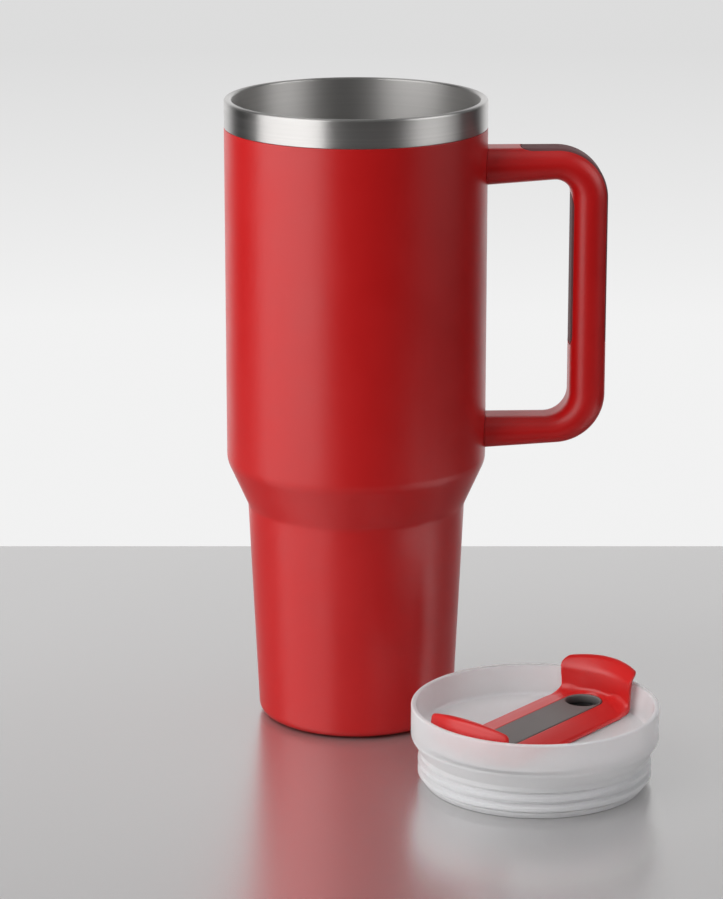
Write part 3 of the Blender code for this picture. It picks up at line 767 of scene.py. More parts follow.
def grey_rubber():
    """Grey rubber with painted shade that makes it darker down in the holes."""
    colour = bpy.context.scene.mug_colours.inlay
    name = "inlay_rubber"
    if name in bpy.data.materials:
        return bpy.data.materials[name]
    material = moulded(name, colour, rough=0.55, scale=4200.0, depth=0.00005, spread=0.06)
    tree = material.node_tree
    shader = tree.nodes["Principled BSDF"]
    tint = shader.inputs["Base Color"].links[0].from_socket
    place = tree.nodes.new("ShaderNodeTexCoord").outputs["Object"]
    height = add_node(tree, "ShaderNodeSeparateXYZ", Vector=place).outputs[2]
    # Painted shade: the rubber's colour grows darker with depth below the bar's top
    shade = ramp(tree, height, PAINTED_SHADE_DEEP, PAINTED_SHADE_TOP, PAINTED_SHADE_DARKEST, 1.0, "LINEAR")
    darker = add_node(tree, "ShaderNodeVectorMath", {"operation": "SCALE"})
    tree.links.new(tint, darker.inputs[0])
    tree.links.new(shade, darker.inputs["Scale"])
    tree.links.new(darker.outputs[0], shader.inputs["Base Color"])
    return material


def frosted(name, clear):
    """Frosted plastic that lets some of the light through."""
    colour = bpy.context.scene.mug_colours.lid
    return finish(
        name, moulded, colour, rough=0.42, scale=2200.0, depth=0.00001, spread=0.01,
        IOR=1.38, Transmission_Weight=clear,
    )


def silicone():
    """The ribbed gasket."""
    return finish(
        "gasket_silicone", moulded, GASKET_TINT,
        rough=0.34, scale=3200.0, depth=0.00001, spread=0.01,
        IOR=1.40, Transmission_Weight=GASKET_CLEAR,
    )


# Body pieces

def lower_radius(height):
    """Outside radius of the tapered lower body."""
    share = (height - SHELL_LOW.z) / (WAIST_HEIGHT - SHELL_LOW.z)
    return BASE_RADIUS + (WAIST_RADIUS - BASE_RADIUS) * share


def make_steel_wall():
    """The bare band, the lip and the inner wall down to the floor, as one skin."""
    low = BAND_LOW.z
    mouth = RADIUS - LIP_WIDTH
    seat = HEIGHT - SEAT_DEPTH
    floor = LINER_LOW.z + SHEET
    waist = lower_radius(WAIST_HEIGHT) - LINER_GAP
    foot = lower_radius(floor) - LINER_GAP
    inside = [
        (mouth, HEIGHT, LIP_ROUND),
        (mouth, seat, SEAT_ROUND),
        (BORE_RADIUS, seat - SEAT_DROP, BORE_ROUND),
        (BORE_RADIUS, SHOULDER_TOP, LINER_ROUND),
        (waist, WAIST_HEIGHT, LINER_ROUND),
        (foot, floor, FLOOR_ROUND),
        (0, floor, 0),
    ]
    outside = [
        (0, LINER_LOW.z, 0),
        (foot + SHEET, LINER_LOW.z, FLOOR_ROUND),
        (waist + SHEET, WAIST_HEIGHT, LINER_ROUND),
        (BORE_RADIUS + SHEET, SHOULDER_TOP, LINER_ROUND),
        (BORE_RADIUS + SHEET, seat - SEAT_DROP, 0),
        (mouth + SHEET, seat, 0),
        (mouth + SHEET, HEIGHT - 2 * SHEET, 0),
        (RADIUS - SHEET, HEIGHT - 2 * SHEET, 0),
        (RADIUS - SHEET, low, EDGE),
        (RADIUS, low, EDGE),
        (RADIUS, HEIGHT, LIP_ROUND),
    ]
    wall = turned("steel_wall", outside + inside, brushed_steel(), closed=False)
    wall.data.materials.append(liner_steel())
    for face in wall.data.polygons:
        face.material_index = int(face.center.xy.length < mouth + LINE_GAP)
    settle(wall, "mug", "steel", "mouth_ring", "inner_liner")


def powder_coat():
    """The fine-grained coat of the body."""
    colour = bpy.context.scene.mug_colours.coat
    depth = bpy.context.scene.mug_sizes.grain
    return finish(
        "powder_coat", moulded, colour, rough=0.35, scale=3200.0, depth=depth, spread=0.015
    )


def make_coated_shell():
    """The outer wall with its shoulder, taper and turned-in foot."""
    top = BAND_LOW.z - LINE_GAP
    low = SHELL_LOW.z
    rim = BASE_RADIUS - FOOT_ROUND - FOOT_RIM
    corners = [
        (RADIUS, top, COAT_EDGE),
        (RADIUS, SHOULDER_TOP, SHOULDER_ROUND),
        (WAIST_RADIUS, WAIST_HEIGHT, WAIST_ROUND),
        (BASE_RADIUS, low, FOOT_ROUND),
        (rim, low, EDGE),
        (rim, low + SHEET, EDGE),
        (BASE_RADIUS - SHEET, low + SHEET, FOOT_ROUND - SHEET),
        (WAIST_RADIUS - SHEET, WAIST_HEIGHT, WAIST_ROUND),
        (RADIUS - SHEET, SHOULDER_TOP, SHOULDER_ROUND),
        (RADIUS - SHEET, top, EDGE),
    ]
    shell = turned("coated_shell", corners, powder_coat(), steps=10)
    settle(shell, "mug", "red_coat", "outer_shell")


def make_base():
    """The plate under the body and the pad that the mug stands on."""
    plate = disc(COVER_PLATE_HIGH.x, COVER_PLATE_LOW.z, COVER_PLATE_HIGH.z, EDGE, EDGE)
    settle(turned("base_plate", plate, plain_steel(), closed=False), "mug", "steel", "base_cover")
    pad = disc(PAD_HIGH.x, PAD_LOW.z, PAD_HIGH.z, EDGE, ROUND_EDGE)
    rubber = finish(
        "pad_dark", moulded, (0.022, 0.022, 0.022), rough=0.78, scale=2600.0, depth=0.0001
    )
    settle(turned("foot_pad", pad, rubber, closed=False), "mug", "pad_rubber", "base_pad")


# Handle pieces

def handle_rails():
    """Points along the outside and the inside of the handle, in pairs, as (x, z)."""
    top = HANDLE_HIGH.z + HANDLE_CREST
    outside = HANDLE_HIGH.x
    inner = outside - GRIP_THICKNESS
    under = top - UPPER_ARM
    over = HANDLE_BOTTOM + LOWER_ARM
    upper_slope = UPPER_FLARE / (inner - FLARE_ROOT)
    lower_slope = LOWER_FLARE / (outside - FLARE_ROOT)
    rails = (
        [
            (ARM_ROOT, top, 0),
            (outside, top, OUTER_CORNER),
            (outside, HANDLE_BOTTOM, OUTER_CORNER),
            (ARM_ROOT, HANDLE_BOTTOM - lower_slope * (outside - ARM_ROOT), 0),
        ],
        [
            (ARM_ROOT, under - upper_slope * (inner - ARM_ROOT), 0),
            (inner, under, INNER_TOP_CORNER),
            (inner, over, INNER_LOW_CORNER),
            (ARM_ROOT, over, 0),
        ],
    )
    straights = (ARM_STEPS, GRIP_STEPS, ARM_STEPS)
    lines = []
    for corners in rails:
        points = rounded(corners, CORNER_STEPS)
        line = []
        start = 0
        for count in straights:
            first, last = points[start], points[start + 1]
            line += [first.lerp(last, step / count) for step in range(count)]
            arc_end = start + 1 + CORNER_STEPS
            line += points[start + 1:arc_end]
            start = arc_end
        line.append(points[-1])
        lines.append(np.array([tuple(point) for point in line]))
    return lines


def handle_section(half, side, steps=16):
    """One turn round the handle: share across its thickness, and distance from its middle plane."""
    arc = [pi * step / steps for step in range(steps + 1)]
    front = [(cos(angle), half - side + side * sin(angle)) for angle in arc]
    flat = [1 - 2 * step / FLAT_STEPS for step in range(1, FLAT_STEPS)]
    inner = [(-1.0, (half - side) * share) for share in flat]
    return front + inner + [(-u, -y) for u, y in front + inner]


def lofted_handle(name, finish):
    """The handle without its grooves and holes."""
    outer, inner = handle_rails()
    section = handle_section(HANDLE_HIGH.y, CROWN_SIDE)
    points = []
    for far, near in zip(outer, inner):
        middle = (far + near) / 2
        reach = (far - near) / 2
        for share, y in section:
            x, z = middle + reach * share
            points.append((x, y, z))
    count = len(section)
    rows = len(outer)
    faces = [list(range(count)), list(range(len(points) - count, len(points)))]
    for row in range(rows - 1):
        for index in range(count):
            ahead = (index + 1) % count
            here = row * count
            faces.append((here + index, here + ahead, here + count + ahead, here + count + index))
    return from_faces(name, points, faces, finish)


def strip_rail(outer):
    """The rail of a strip, the one across from it, and the distances where the strip ends."""
    far, near = handle_rails()
    rail, other = (far, near) if outer else (near, far)
    steps = np.linalg.norm(np.diff(rail, axis=0), axis=1)
    reach = np.concatenate([[0], np.cumsum(steps)])
    on_grip = slice(ARM_STEPS + CORNER_STEPS, ARM_STEPS + CORNER_STEPS + GRIP_STEPS + 1)
    down = rail[on_grip, 1][::-1]
    low = float(np.interp(OUTER_STRIP_LOW.z, down, reach[on_grip][::-1]))
    if outer:
        high = float(np.interp(OUTER_STRIP_LOW.x, rail[:ARM_STEPS, 0], reach[:ARM_STEPS]))
    else:
        high = float(np.interp(INNER_STRIP_HIGH.z, down, reach[on_grip][::-1]))
    return rail, other, reach, high, low


def strip_form(name, outer, grow, top, depth, edge, finish=None):
    """A strip let into the handle, or the groove that it lies in: a grid along its rail."""
    rail, other, reach, first, last = strip_rail(outer)
    low, high = first - grow, last + grow
    half = STRIP_HALF + grow
    corner = STRIP_CORNER + grow
    ends = {corner * share * share for share in np.linspace(0, 1, STRIP_END_STEPS)}
    sides = [0.0]
    if edge:
        ends.update(edge * share for share in EDGE_SHARES)
        sides = [edge * share for share in EDGE_SHARES]
    ends = sorted(ends)
    middle = [place for place in reach if low + corner < place < high - corner]
    middle = sorted(middle + list(np.linspace(low + corner, high - corner, STRIP_STEPS)))
    stations = [low + end for end in ends] + middle[1:-1] + [high - end for end in reversed(ends)]
    upper, lower = [], []
    for station in stations:
        end = max(min(station - low, high - station), 0)
        width = half
        if end < corner:
            width = half - corner + sqrt(corner ** 2 - (corner - end) ** 2)
        near = [width - step for step in sides]
        between = list(np.linspace(-near[-1], near[-1], STRIP_ACROSS))[1:-1]
        row = [-side for side in near] + between + near[::-1]
        here, across = (
            np.array([np.interp(station, reach, line[:, axis]) for axis in (0, 1)])
            for line in (rail, other)
        )
        thick = np.linalg.norm(here - across) / 2
        out = (here - across) / (2 * thick)
        for y in row:
            past = min(max((abs(y) - HANDLE_HIGH.y + CROWN_SIDE) / CROWN_SIDE, 0), 1)
            fall = thick * (1 - sqrt(1 - past * past))
            lift = top - fall
            inside = rounded_distance(end, half - abs(y), corner)
            if inside < edge:
                lift -= edge - sqrt(edge ** 2 - (edge - max(inside, 0)) ** 2)
            for level, store in ((lift, upper), (-depth - fall, lower)):
                x, z = here + out * level
                store.append((x, y, z))
    return grid_solid(name, upper, lower, len(row), finish)


def rounded_distance(along, across, corner):
    """Distance inside a rounded rectangle from its edge, from the distances to its two sides."""
    if along < corner and across < corner:
        return corner - sqrt((corner - along) ** 2 + (corner - across) ** 2)
    return min(along, across)


def grid_solid(name, upper, lower, wide, finish):
    """Joins an upper and a lower grid of points into one closed solid."""
    rows = len(upper) // wide
    points = upper + lower
    base = len(upper)
    faces = []
    for row in range(rows - 1):
        for column in range(wide - 1):
            a = row * wide + column
            quad = (a, a + 1, a + wide + 1, a + wide)
            faces.append(quad)
            faces.append(tuple(base + corner for corner in reversed(quad)))
        for column in (0, wide - 1):
            a = row * wide + column
            faces.append((a, a + wide, base + a + wide, base + a))
    for row in (0, rows - 1):
        for column in range(wide - 1):
            a = row * wide + column
            faces.append((a, a + 1, base + a + 1, base + a))
    return from_faces(name, points, faces, finish, angle=40)


def make_handle():
    """The moulded handle, cut for the wall, its strips and its screws."""
    handle = lofted_handle("handle", red_plastic())
    body = disc(RADIUS + LINE_GAP, BODY_CUT_LOW, HEIGHT)
    cutters = [turned("body_space", body, None, closed=False)]
    for side in ("outer", "inner"):
        size = (STRIP_GAP, GROOVE_RISE, STRIP_GROOVE, 0)
        cutters.append(strip_form(f"{side}_groove", side == "outer", *size))
    for low, high in SCREW_BOXES:
        centre = (low + high) / 2
        head = (high.x - low.x) / 2 + FIT / 2
        hole = disc(head, low.z - SCREW_CLEAR, low.z + SCREW_HEAD)
        place = Vector((centre.x, centre.y, 0))
        cutters.append(turned("screw_hole", hole, None, place, False, SCREW_FACETS))
    cut(handle, cutters)
    settle(handle, "mug", "red_plastic", "handle_shell")


def make_grips():
    """The soft strips outside and inside the handle."""
    for side in ("outer", "inner"):
        size = (0, -STRIP_SET, STRIP_DEPTH, STRIP_EDGE)
        strip = strip_form(f"{side}_strip", side == "outer", *size, soft_grip())
        settle(strip, "mug", "grip_rubber", f"{side}_grip")


def make_screws():
    """The two screws under the arms, one shape set down twice."""
    low, high = SCREW_BOXES[0]
    radius = (high.x - low.x) / 2
    length = high.z - low.z
    outline = [
        (0, length, 0),
        (SCREW_SHANK, length, SOFT_EDGE),
        (SCREW_SHANK, SCREW_HEAD, 0),
        (radius, SCREW_HEAD, EDGE),
        (radius, 0, SCREW_HEAD_EDGE),
        (0, 0, 0),
    ]
    metal = finish("screw_metal", brushed, (0.47, 0.47, 0.46), rough=0.34, across=3000.0)
    screw = turned("screw_shape", outline, metal, closed=False, facets=SCREW_FACETS)
    cutters = []
    for turn in (0, pi / 2):
        mesh = bpy.data.meshes.new("slot_shape")
        form = bmesh.new()
        size = Matrix.Diagonal(SLOT_SIZE)
        bmesh.ops.create_cube(form, size=1, matrix=Matrix.Rotation(turn, 4, "Z") @ size)
        form.to_mesh(mesh)
        form.free()
        cutters.append(new_object("slot_shape", mesh))
    cut(screw, cutters)
    places = [
        ((low + high) / 2).to_2d().to_3d() + Vector((0, 0, low.z)) for low, high in SCREW_BOXES
    ]
    mesh = bpy.data.meshes.new("handle_screws")
    mesh.from_pydata(places, [], [])
    screws = apply_tree(new_object("handle_screws", mesh), placed_tree(), Piece=screw, Finish=metal)
    screws.data.set_sharp_from_angle(angle=radians(30))
    bpy.data.objects.remove(screw)
    settle(screws, "mug", "screw_steel", "upper_screw", "lower_screw")


def dress_inner_pieces():
    """Finishes for the pieces between the walls and in the arms, which keep their solids."""
    metals = {
        "copper_wrap": ("copper_foil", (0.62, 0.27, 0.13), 0.30),
        "bottom_plate": ("plate_steel", (0.50, 0.50, 0.49), 0.40),
        "getter": ("getter_grey", (0.20, 0.20, 0.21), 0.60),
        "seal_bead": ("bead_solder", (0.60, 0.60, 0.58), 0.35),
        "upper_bracket": ("bracket_steel", (0.50, 0.50, 0.49), 0.42),
        "lower_bracket": ("bracket_steel", (0.50, 0.50, 0.49), 0.42),
    }
    for node, (name, colour, rough) in metals.items():
        mesh = frame["nodes"][node].data
        mesh.materials.clear()
        mesh.materials.append(finish(name, brushed, colour, rough, across=2500.0))


# Lid pieces

def hole_place():
    """Axis of the drinking hole, below the hole of the cover."""
    return LID_AXIS + Matrix.Rotation(COVER_BEARING, 3, "Z") @ Vector((HOLE_PLACE, 0, 0))


def make_lid():
    """The frosted moulding: rim, recess, deck and hollow plug."""
    radius = LID_HIGH.x - LID_AXIS.x
    plug = radius - CHAMFER_STEP
    groove = plug - GROOVE_DEPTH
    inside = groove - PLUG_WALL
    rim_inside = radius - RIM_WALL
    recess = rim_inside - RIM_DRAFT
    pin = (PIN_HIGH.x - PIN_LOW.x) / 4 + FIT
    corners = [
        (radius, LID_HIGH.z, RIM_ROUND),
        (radius, CHAMFER_TOP, CHAMFER_ROUND),
        (plug, CHAMFER_BOTTOM, TOE_ROUND),
        (plug, GROOVE_TOP, ROUND_EDGE),
        (groove, GROOVE_TOP, EDGE),
        (groove, PLUG_FLANGE, EDGE),
        (plug - FIT, PLUG_FLANGE, ROUND_EDGE),
        (plug - FIT - PLUG_TOE, 0, TOE_ROUND),
        (inside, 0, TOE_ROUND),
        (inside, GROOVE_TOP, PLUG_ROUND),
        (recess - PLUG_WALL, DECK_BOTTOM, DECK_ROUND),
        (pin, DECK_BOTTOM, EDGE),
        (pin, DECK_TOP, EDGE),
        (recess, DECK_TOP, DECK_ROUND),
        (rim_inside, LID_HIGH.z, RIM_ROUND),
    ]
    lid = turned("lid", corners, frosted("lid_frosted", LID_CLEAR), LID_AXIS)
    flange = (SLEEVE_HIGH.x - SLEEVE_LOW.x) / 2 + FIT
    step = DECK_TOP - FLANGE_THICKNESS - FIT
    sleeve = flange - FLANGE_WIDTH
    hole = [
        (0, DECK_TOP + DECK_CLEAR, 0),
        (flange, DECK_TOP + DECK_CLEAR, 0),
        (flange, step, 0),
        (sleeve, step, 0),
        (sleeve, DECK_BOTTOM - DECK_CLEAR, 0),
        (0, DECK_BOTTOM - DECK_CLEAR, 0),
    ]
    cut(lid, [turned("deck_hole", hole, None, hole_place(), False, PIN_FACETS)])
    lid.data.materials.append(frosted("plug_frosted", PLUG_CLEAR))
    for face in lid.data.polygons:
        outward = (face.center - LID_AXIS).xy.dot(face.normal.xy) > 0
        face.material_index = int(outward and face.center.z < PLUG_FINISH_TOP)
    settle(lid, "lid", "frosted_plastic", "lid_body")


def make_gaskets():
    """The ribbed ring round the plug and the sleeve in the drinking hole."""
    outside = LID_HIGH.x - LID_AXIS.x - CHAMFER_STEP - FIT
    inside = outside - GASKET_WALL
    rib = GASKET_HIGH.x - LID_AXIS.x
    valley = outside - RIB_VALLEY
    corners = [(outside, GASKET_HIGH.z, SOFT_EDGE)]
    for height in RIB_HEIGHTS:
        corners += [
            (valley, height + RIB_HALF, FINE_EDGE),
            (rib, height + RIB_HALF / 2, EDGE),
            (rib, height - RIB_HALF / 2, EDGE),
            (valley, height - RIB_HALF, FINE_EDGE),
        ]
    corners += [
        (outside, GASKET_LOW.z, SOFT_EDGE),
        (inside, GASKET_LOW.z, EDGE),
        (inside, GASKET_HIGH.z, EDGE),
    ]
    ring = turned("plug_gasket", corners, silicone(), LID_AXIS, steps=4)
    settle(ring, "lid", "silicone", "lid_gasket")
    flange = (SLEEVE_HIGH.x - SLEEVE_LOW.x) / 2
    sleeve = flange - FLANGE_WIDTH
    step = SLEEVE_HIGH.z - FLANGE_THICKNESS
    corners = [
        (flange, SLEEVE_HIGH.z, EDGE),
        (flange, step, FINE_EDGE),
        (sleeve, step, FINE_EDGE),
        (sleeve, SLEEVE_LOW.z, EDGE),
        (HOLE_RADIUS, SLEEVE_LOW.z, EDGE),
        (HOLE_RADIUS, SLEEVE_HIGH.z, EDGE),
    ]
    lining = turned("spout_sleeve", corners, grey_rubber(), hole_place(), facets=96, steps=4)
    settle(lining, "lid", "grey_rubber", "spout_gasket")


# Cover and inlay as distance fields in the cover's own frame

def round_max(a, b, radius):
    """The overlap of two fields with its edge rounded."""
    return np.minimum(np.maximum(a, b), -radius) + np.hypot(
        np.maximum(a + radius, 0), np.maximum(b + radius, 0)
    )


def round_min(a, b, radius):
    """Two fields joined with a hollow fillet."""
    return np.maximum(np.minimum(a, b), radius) - np.hypot(
        np.maximum(radius - a, 0), np.maximum(radius - b, 0)
    )


def field_space(low, high):
    """Coordinates of the voxels of a box."""
    axes = [np.arange(a, b, VOXEL) for a, b in zip(low, high)]
    return np.meshgrid(*axes, indexing="ij")


def stadium_field(x, y, half, near):
    """A strip along X, round at the hole and straight at its near end."""
    side = np.where(x > HOLE_PLACE, np.hypot(x - HOLE_PLACE, y), abs(y)) - half
    return np.maximum(side, near - x)


def bar_field(x, y, z, reach):
    """The bar with its sloping sides."""
    slope = Vector((BAR_TOP - BAR_BOTTOM - BAR_SIDE, BAR_HALF - BAR_CROWN)).normalized()
    side = (abs(y) - BAR_HALF) * slope.x + (z - BAR_BOTTOM - BAR_SIDE) * slope.y
    plan = round_max(abs(y) - BAR_HALF, reach - COVER_RADIUS + TALL_THICKNESS / 2, BAR_CORNER)
    field = round_max(plan, side, BAR_EDGE)
    return round_max(field, z - BAR_TOP, BAR_TOP_EDGE)


def turned_across(x, y, turn):
    """Place across a tab that is turned on the bar."""
    return y * cos(turn) - x * sin(turn)


def tall_tab_field(x, y, z, reach, outer):
    """The tall tab, with its lip bent outwards."""
    y = turned_across(x, y, TALL_TURN)
    share = np.clip((z - BAR_BOTTOM) / (TALL_TOP - BAR_BOTTOM), 0, 1)
    half = TALL_BASE + (TALL_HALF - TALL_BASE) * share
    top = TALL_TOP + TALL_CREST - TALL_ARCH * (y / TALL_HALF) ** 2
    front = round_max(abs(y) - half, z - top, TALL_CORNER)
    front = round_max(front, BAR_BOTTOM - z, TALL_FOOT)
    back = round_max(reach - outer, abs(y) - half, END_CORNER)
    thin = np.maximum(back, outer - TALL_THICKNESS - reach)
    return np.maximum(round_max(thin, front, TAB_EDGE), TALL_FROM - x)


def low_tab_field(x, y, z, reach):
    """The low tab, a leaf between the rim and a bowed chord."""
    outer = COVER_RADIUS - LOW_LEAN * np.maximum(z - LOW_TOP + LOW_LEAN_DROP, 0)
    x, y = x * cos(LOW_TURN) + y * sin(LOW_TURN), turned_across(x, y, LOW_TURN)
    leaf = round_max(reach - outer, x + LOW_CHORD - LOW_BOW * y * y, LEAF_EDGE)
    top = LOW_TOP + LOW_ARCH - (LOW_ARCH + LOW_FALL) * (y / LOW_HALF) ** 2
    front = round_max(abs(y) - LOW_HALF, z - top, LOW_CORNER)
    return round_max(leaf, front, TAB_EDGE)


def make_cover():
    """The bar, its two tabs, the pocket of the inlay and the holes."""
    x, y, z = field_space(*COVER_SPACE)
    reach = np.hypot(x, y)
    rise = z - TALL_TOP + LIP_HEIGHT
    outer = COVER_RADIUS + LIP_SLOPE * (rise + np.hypot(rise, LIP_BEND)) / 2
    share = np.clip((abs(y) - SCOOP_FROM) / SCOOP_OVER, 0, 1)
    share = share * share * (3 - 2 * share)
    scoop = SCOOP_MIDDLE + (bpy.context.scene.mug_sizes.scoop - SCOOP_MIDDLE) * share
    cover = round_min(bar_field(x, y, z, reach), tall_tab_field(x, y, z, reach, outer), scoop)
    cover = round_min(cover, low_tab_field(x, y, z, reach), scoop)
    envelope = np.where(x > 0, outer, COVER_RADIUS)
    cover = np.maximum(cover, round_max(reach - envelope, BAR_BOTTOM - z, END_ROUND))
    pocket = stadium_field(x, y, INLAY_HALF + FIT / 2, INLAY_NEAR - FIT / 2)
    floor = BAR_TOP - INLAY_THICKNESS - FIT
    cover = round_max(cover, -np.maximum(pocket, floor - z), ROUND_EDGE)
    cover = np.maximum(cover, COLLAR_RADIUS + FIT - np.hypot(x - HOLE_PLACE, y))
    head = PIN_HIGH.x - LID_AXIS.x
    cover = np.maximum(cover, -np.maximum(reach - head - FIT, PIN_HIGH.z - PIN_POCKET - z))
    cover = np.maximum(cover, head / 2 + FIT - reach)
    colour = bpy.context.scene.mug_colours.cover
    plastic = finish(
        "cover_plastic", moulded, colour, rough=0.31, scale=2600.0, depth=0.00003, spread=0.03
    )
    piece = from_field("cover", cover, COVER_SPACE[0], plastic, COVER_BEARING, LID_AXIS)
    settle(piece, "cover", "red_plastic", "rotary_cover")


def make_inlay():
    """The grey strip let into the cover, with the collar round its hole."""
    x, y, z = field_space(*INLAY_SPACE)
    strip = stadium_field(x, y, INLAY_HALF, INLAY_NEAR)
    under = BAR_TOP - INLAY_THICKNESS
    inlay = round_max(np.maximum(strip, under - z), z - BAR_TOP, SOFT_EDGE)
    hole = np.hypot(x - HOLE_PLACE, y)
    tall = np.maximum(z - under - COLLAR_LAP, BAR_BOTTOM - FIT / 2 - z)
    collar = np.maximum(hole - COLLAR_RADIUS, tall)
    inlay = np.minimum(inlay, collar)
    inlay = round_max(inlay, HOLE_RADIUS - hole, ROUND_EDGE)
    piece = from_field("inlay", inlay, INLAY_SPACE[0], grey_rubber(), COVER_BEARING, LID_AXIS)
    settle(piece, "cover", "grey_rubber", "cover_inlay")


def make_pivot():
    """The pin that the cover turns on, with its washer and push-on clip below the deck."""
    head = PIN_HIGH.x - LID_AXIS.x
    pin = head / 2
    outline = [
        (0, PIN_HIGH.z, 0),
        (head, PIN_HIGH.z, EDGE),
        (head, PIN_HIGH.z - PIN_HEAD, FINE_EDGE),
        (pin, PIN_HIGH.z - PIN_HEAD, FINE_EDGE),
        (pin, PIN_LOW.z, SOFT_EDGE),
        (0, PIN_LOW.z, 0),
    ]
    metal = plain_steel()
    piece = turned("cover_pin", outline, metal, LID_AXIS, False, PIN_FACETS, 4)
    settle(piece, "cover", "screw_steel", "pivot_pin")
    nylon = finish("washer_nylon", moulded, (0.72, 0.72, 0.69), rough=0.50, depth=0.00002)
    rings = (
        ("pin_washer", WASHER_LOW, WASHER_HIGH, nylon, "lid", "nylon", "pivot_washer"),
        ("pin_clip", CLIP_LOW, CLIP_HIGH, metal, "cover", "screw_steel", "retaining_clip"),
    )
    for name, low, high, material, body, slot, node in rings:
        outside = high.x - LID_AXIS.x
        outline = [
            (outside, high.z, EDGE),
            (outside, low.z, EDGE),
            (pin + FIT, low.z, EDGE),
            (pin + FIT, high.z, EDGE),
        ]
        piece = turned(name, outline, material, LID_AXIS, True, PIN_FACETS, 4)
        settle(piece, body, slot, node)


# Stage

def make_floor():
    """The pale table top."""
    mesh = bpy.data.meshes.new("floor")
    form = bmesh.new()
    turn = Matrix.Rotation(CAMERA_BEARING, 3, "Z")
    form.faces.new([form.verts.new(turn @ Vector((x, y, -FLOOR_DROP))) for x, y in FLOOR_CORNERS])
    form.to_mesh(mesh)
    form.free()
    floor = new_object("floor", mesh)
    pale, tree, shader = new_finish("pale_floor")
    place = tree.nodes.new("ShaderNodeTexCoord").outputs["Object"]
    soft = add_node(tree, "ShaderNodeTexNoise", Vector=place, Scale=6.0, Detail=1.0)
    tree.links.new(tinted(tree, soft.outputs[0], FLOOR_TINT, 0.01), shader.inputs["Base Color"])
    set_plain(shader, Roughness=0.27, Metallic=0.8)
    mesh.materials.append(pale)


def make_world(studio):
    """Pale behind everything and dim all round, with a lighter wall at the back in reflections."""
    world = bpy.data.worlds.new("studio")
    bpy.context.scene.world = world
    world.use_nodes = True
    tree = world.node_tree
    tree.nodes.clear()
    direction = tree.nodes.new("ShaderNodeTexCoord").outputs["Generated"]
    parts = add_node(tree, "ShaderNodeSeparateXYZ", Vector=direction)
    height = parts.outputs[2]
    wall = ramp(tree, parts.outputs[1], *BACK_WALL)
    above = ramp(tree, height, *OVERHEAD)
    lower = ramp(tree, height, *WALL_FALL, "LINEAR")
    pale = ramp(tree, height, *BACKDROP, "LINEAR")
    rays = tree.nodes.new("ShaderNodeLightPath").outputs
    kinds = ("Camera", "Transmission", "Glossy")
    camera, clear, glossy = (rays[f"Is {kind} Ray"] for kind in kinds)
    towards = add_node(tree, "ShaderNodeVectorMath", {"operation": "DOT_PRODUCT"})
    tree.links.new(direction, towards.inputs[0])
    towards.inputs[1].default_value = PANEL_TOWARDS
    panel = ramp(tree, towards.outputs["Value"], *PANEL_EDGE, 0.0, studio.panel)
    rising = ramp(tree, height, *BELT_FOOT, 0.0, studio.walls)
    falling = ramp(tree, height, *BELT_TOP)
    soft = maths(tree, "MULTIPLY_ADD", above, studio.sky, studio.ambient)
    belt = maths(tree, "MULTIPLY", rising, falling)
    mirrored = maths(tree, "MAXIMUM", maths(tree, "MULTIPLY", wall, lower), belt)
    mirrored = maths(tree, "MULTIPLY_ADD", above, studio.ceiling, mirrored)
    mirrored = maths(tree, "ADD", mirrored, panel)
    dim = maths(tree, "MULTIPLY_ADD", maths(tree, "SUBTRACT", mirrored, soft), glossy, soft)
    seen = maths(tree, "MULTIPLY_ADD", clear, SEEN_THROUGH, camera)
    rest = maths(tree, "SUBTRACT", maths(tree, "MULTIPLY", pale, seen), dim)
    strength = maths(tree, "MULTIPLY_ADD", rest, maths(tree, "MAXIMUM", camera, clear), dim)
    back = add_node(tree, "ShaderNodeBackground", Color=(1, 1, 1, 1), Strength=strength)
    output = tree.nodes.new("ShaderNodeOutputWorld")
    tree.links.new(back.outputs[0], output.inputs[0])


def make_lamp(name, bearing, distance, width, low, high, radiance):
    """A soft light on a bearing from the camera's side, or overhead where it has no distance."""
    lamp = bpy.data.lights.new(name, "AREA")
    lamp.shape = "RECTANGLE"
    lamp.size = width
    lamp.size_y = high - low
    lamp.energy = radiance * pi * width * (high - low)
    obj = new_object(name, lamp)
    angle = radians(bearing)
    obj.location = (sin(angle) * distance, -cos(angle) * distance, (low + high) / 2)
    if distance:
        obj.rotation_euler = (pi / 2, 0, angle)


def make_camera():
    """The camera of the picture."""
    lens = bpy.data.cameras.new("camera")
    lens.sensor_width = SENSOR
    lens.lens = FOCAL_PIXELS / PICTURE_HEIGHT * SENSOR
    lens.shift_x = CAMERA_SHIFT
    camera = new_object("camera", lens)
    camera.location = CAMERA_PLACE
    camera.rotation_euler = (CAMERA_TILT, 0, CAMERA_BEARING)
    bpy.context.scene.camera = camera


def make_stage():
    """Camera, floor, surroundings and lights."""
    studio = bpy.context.scene.mug_studio
    make_camera()
    make_floor()
    make_world(studio)
    for name, place in LAMPS.items():
        make_lamp(name, *place, getattr(studio, name))
    bpy.context.scene.view_settings.view_transform = "Standard"


# Operators, panel and registration

class MUG_OT_steel_wall(bpy.types.Operator):
    """Build the bare steel band, lip and inner wall"""

    bl_idname = "mug.steel_wall"
    bl_label = "Steel wall"

    def execute(self, context):
        make_steel_wall()
        return {"FINISHED"}


class MUG_OT_coated_shell(bpy.types.Operator):
    """Build the powder-coated outer wall"""

    bl_idname = "mug.coated_shell"
    bl_label = "Coated shell"

    def execute(self, context):
        make_coated_shell()
        return {"FINISHED"}


class MUG_OT_base(bpy.types.Operator):
    """Build the base plate and the foot pad"""

    bl_idname = "mug.base"
    bl_label = "Base"

    def execute(self, context):
        make_base()
        return {"FINISHED"}


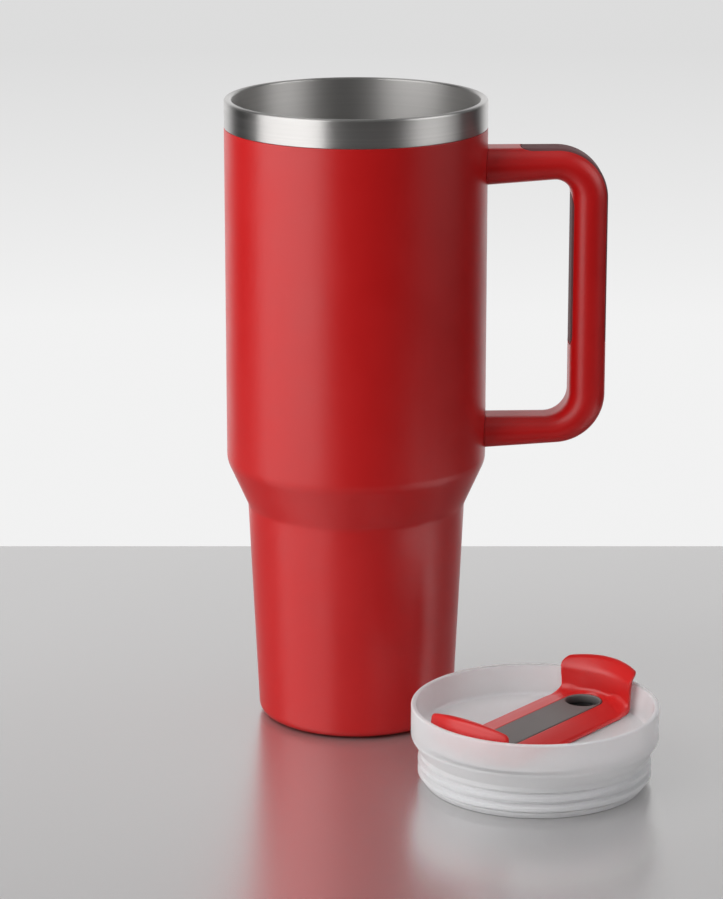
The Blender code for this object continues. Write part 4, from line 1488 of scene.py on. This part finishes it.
class MUG_OT_handle(bpy.types.Operator):
    """Build the moulded handle"""

    bl_idname = "mug.handle"
    bl_label = "Handle"

    def execute(self, context):
        make_handle()
        return {"FINISHED"}


class MUG_OT_grips(bpy.types.Operator):
    """Build the soft strips of the handle"""

    bl_idname = "mug.grips"
    bl_label = "Grip strips"

    def execute(self, context):
        make_grips()
        return {"FINISHED"}


class MUG_OT_screws(bpy.types.Operator):
    """Set the screws under the arms"""

    bl_idname = "mug.screws"
    bl_label = "Handle screws"

    def execute(self, context):
        make_screws()
        return {"FINISHED"}


class MUG_OT_inner_pieces(bpy.types.Operator):
    """Finish the pieces between the walls and in the arms"""

    bl_idname = "mug.inner_pieces"
    bl_label = "Inner pieces"

    def execute(self, context):
        dress_inner_pieces()
        return {"FINISHED"}


class MUG_OT_lid(bpy.types.Operator):
    """Build the frosted lid"""

    bl_idname = "mug.lid"
    bl_label = "Lid"

    def execute(self, context):
        make_lid()
        return {"FINISHED"}


class MUG_OT_gaskets(bpy.types.Operator):
    """Build the lid's ribbed gasket and the sleeve of the drinking hole"""

    bl_idname = "mug.gaskets"
    bl_label = "Gaskets"

    def execute(self, context):
        make_gaskets()
        return {"FINISHED"}


class MUG_OT_cover(bpy.types.Operator):
    """Build the turning cover with its tabs"""

    bl_idname = "mug.cover"
    bl_label = "Turning cover"

    def execute(self, context):
        make_cover()
        return {"FINISHED"}


class MUG_OT_inlay(bpy.types.Operator):
    """Build the strip let into the cover"""

    bl_idname = "mug.inlay"
    bl_label = "Cover inlay"

    def execute(self, context):
        make_inlay()
        return {"FINISHED"}


class MUG_OT_pivot(bpy.types.Operator):
    """Build the pin, washer and clip that hold the cover"""

    bl_idname = "mug.pivot"
    bl_label = "Pivot"

    def execute(self, context):
        make_pivot()
        return {"FINISHED"}


class MUG_OT_stage(bpy.types.Operator):
    """Set the camera, the floor and the light"""

    bl_idname = "mug.stage"
    bl_label = "Stage"

    def execute(self, context):
        make_stage()
        return {"FINISHED"}


OPERATORS = (
    MUG_OT_steel_wall,
    MUG_OT_coated_shell,
    MUG_OT_base,
    MUG_OT_handle,
    MUG_OT_grips,
    MUG_OT_screws,
    MUG_OT_inner_pieces,
    MUG_OT_lid,
    MUG_OT_gaskets,
    MUG_OT_cover,
    MUG_OT_inlay,
    MUG_OT_pivot,
    MUG_OT_stage,
)


class MUG_PT_panel(bpy.types.Panel):
    """Lists the pieces of the mug"""

    bl_idname = "MUG_PT_panel"
    bl_label = "Insulated travel mug"
    bl_space_type = "VIEW_3D"
    bl_region_type = "UI"
    bl_category = "Mug"

    def draw(self, context):
        for operator in OPERATORS:
            self.layout.operator(operator.bl_idname)


GROUPS = {"mug_sizes": MugSizes, "mug_colours": MugColours, "mug_studio": MugStudio}
CLASSES = (*GROUPS.values(), *OPERATORS, MUG_PT_panel)


def register():
    for cls in CLASSES:
        bpy.utils.register_class(cls)
    for name, group in GROUPS.items():
        setattr(bpy.types.Scene, name, PointerProperty(type=group))


def unregister():
    for name in GROUPS:
        delattr(bpy.types.Scene, name)
    for cls in reversed(CLASSES):
        bpy.utils.unregister_class(cls)


def main():
    register()
    for operator in OPERATORS:
        name = operator.bl_idname.split(".")[1]
        getattr(bpy.ops.mug, name)()


if __name__ == "__main__":
    main()
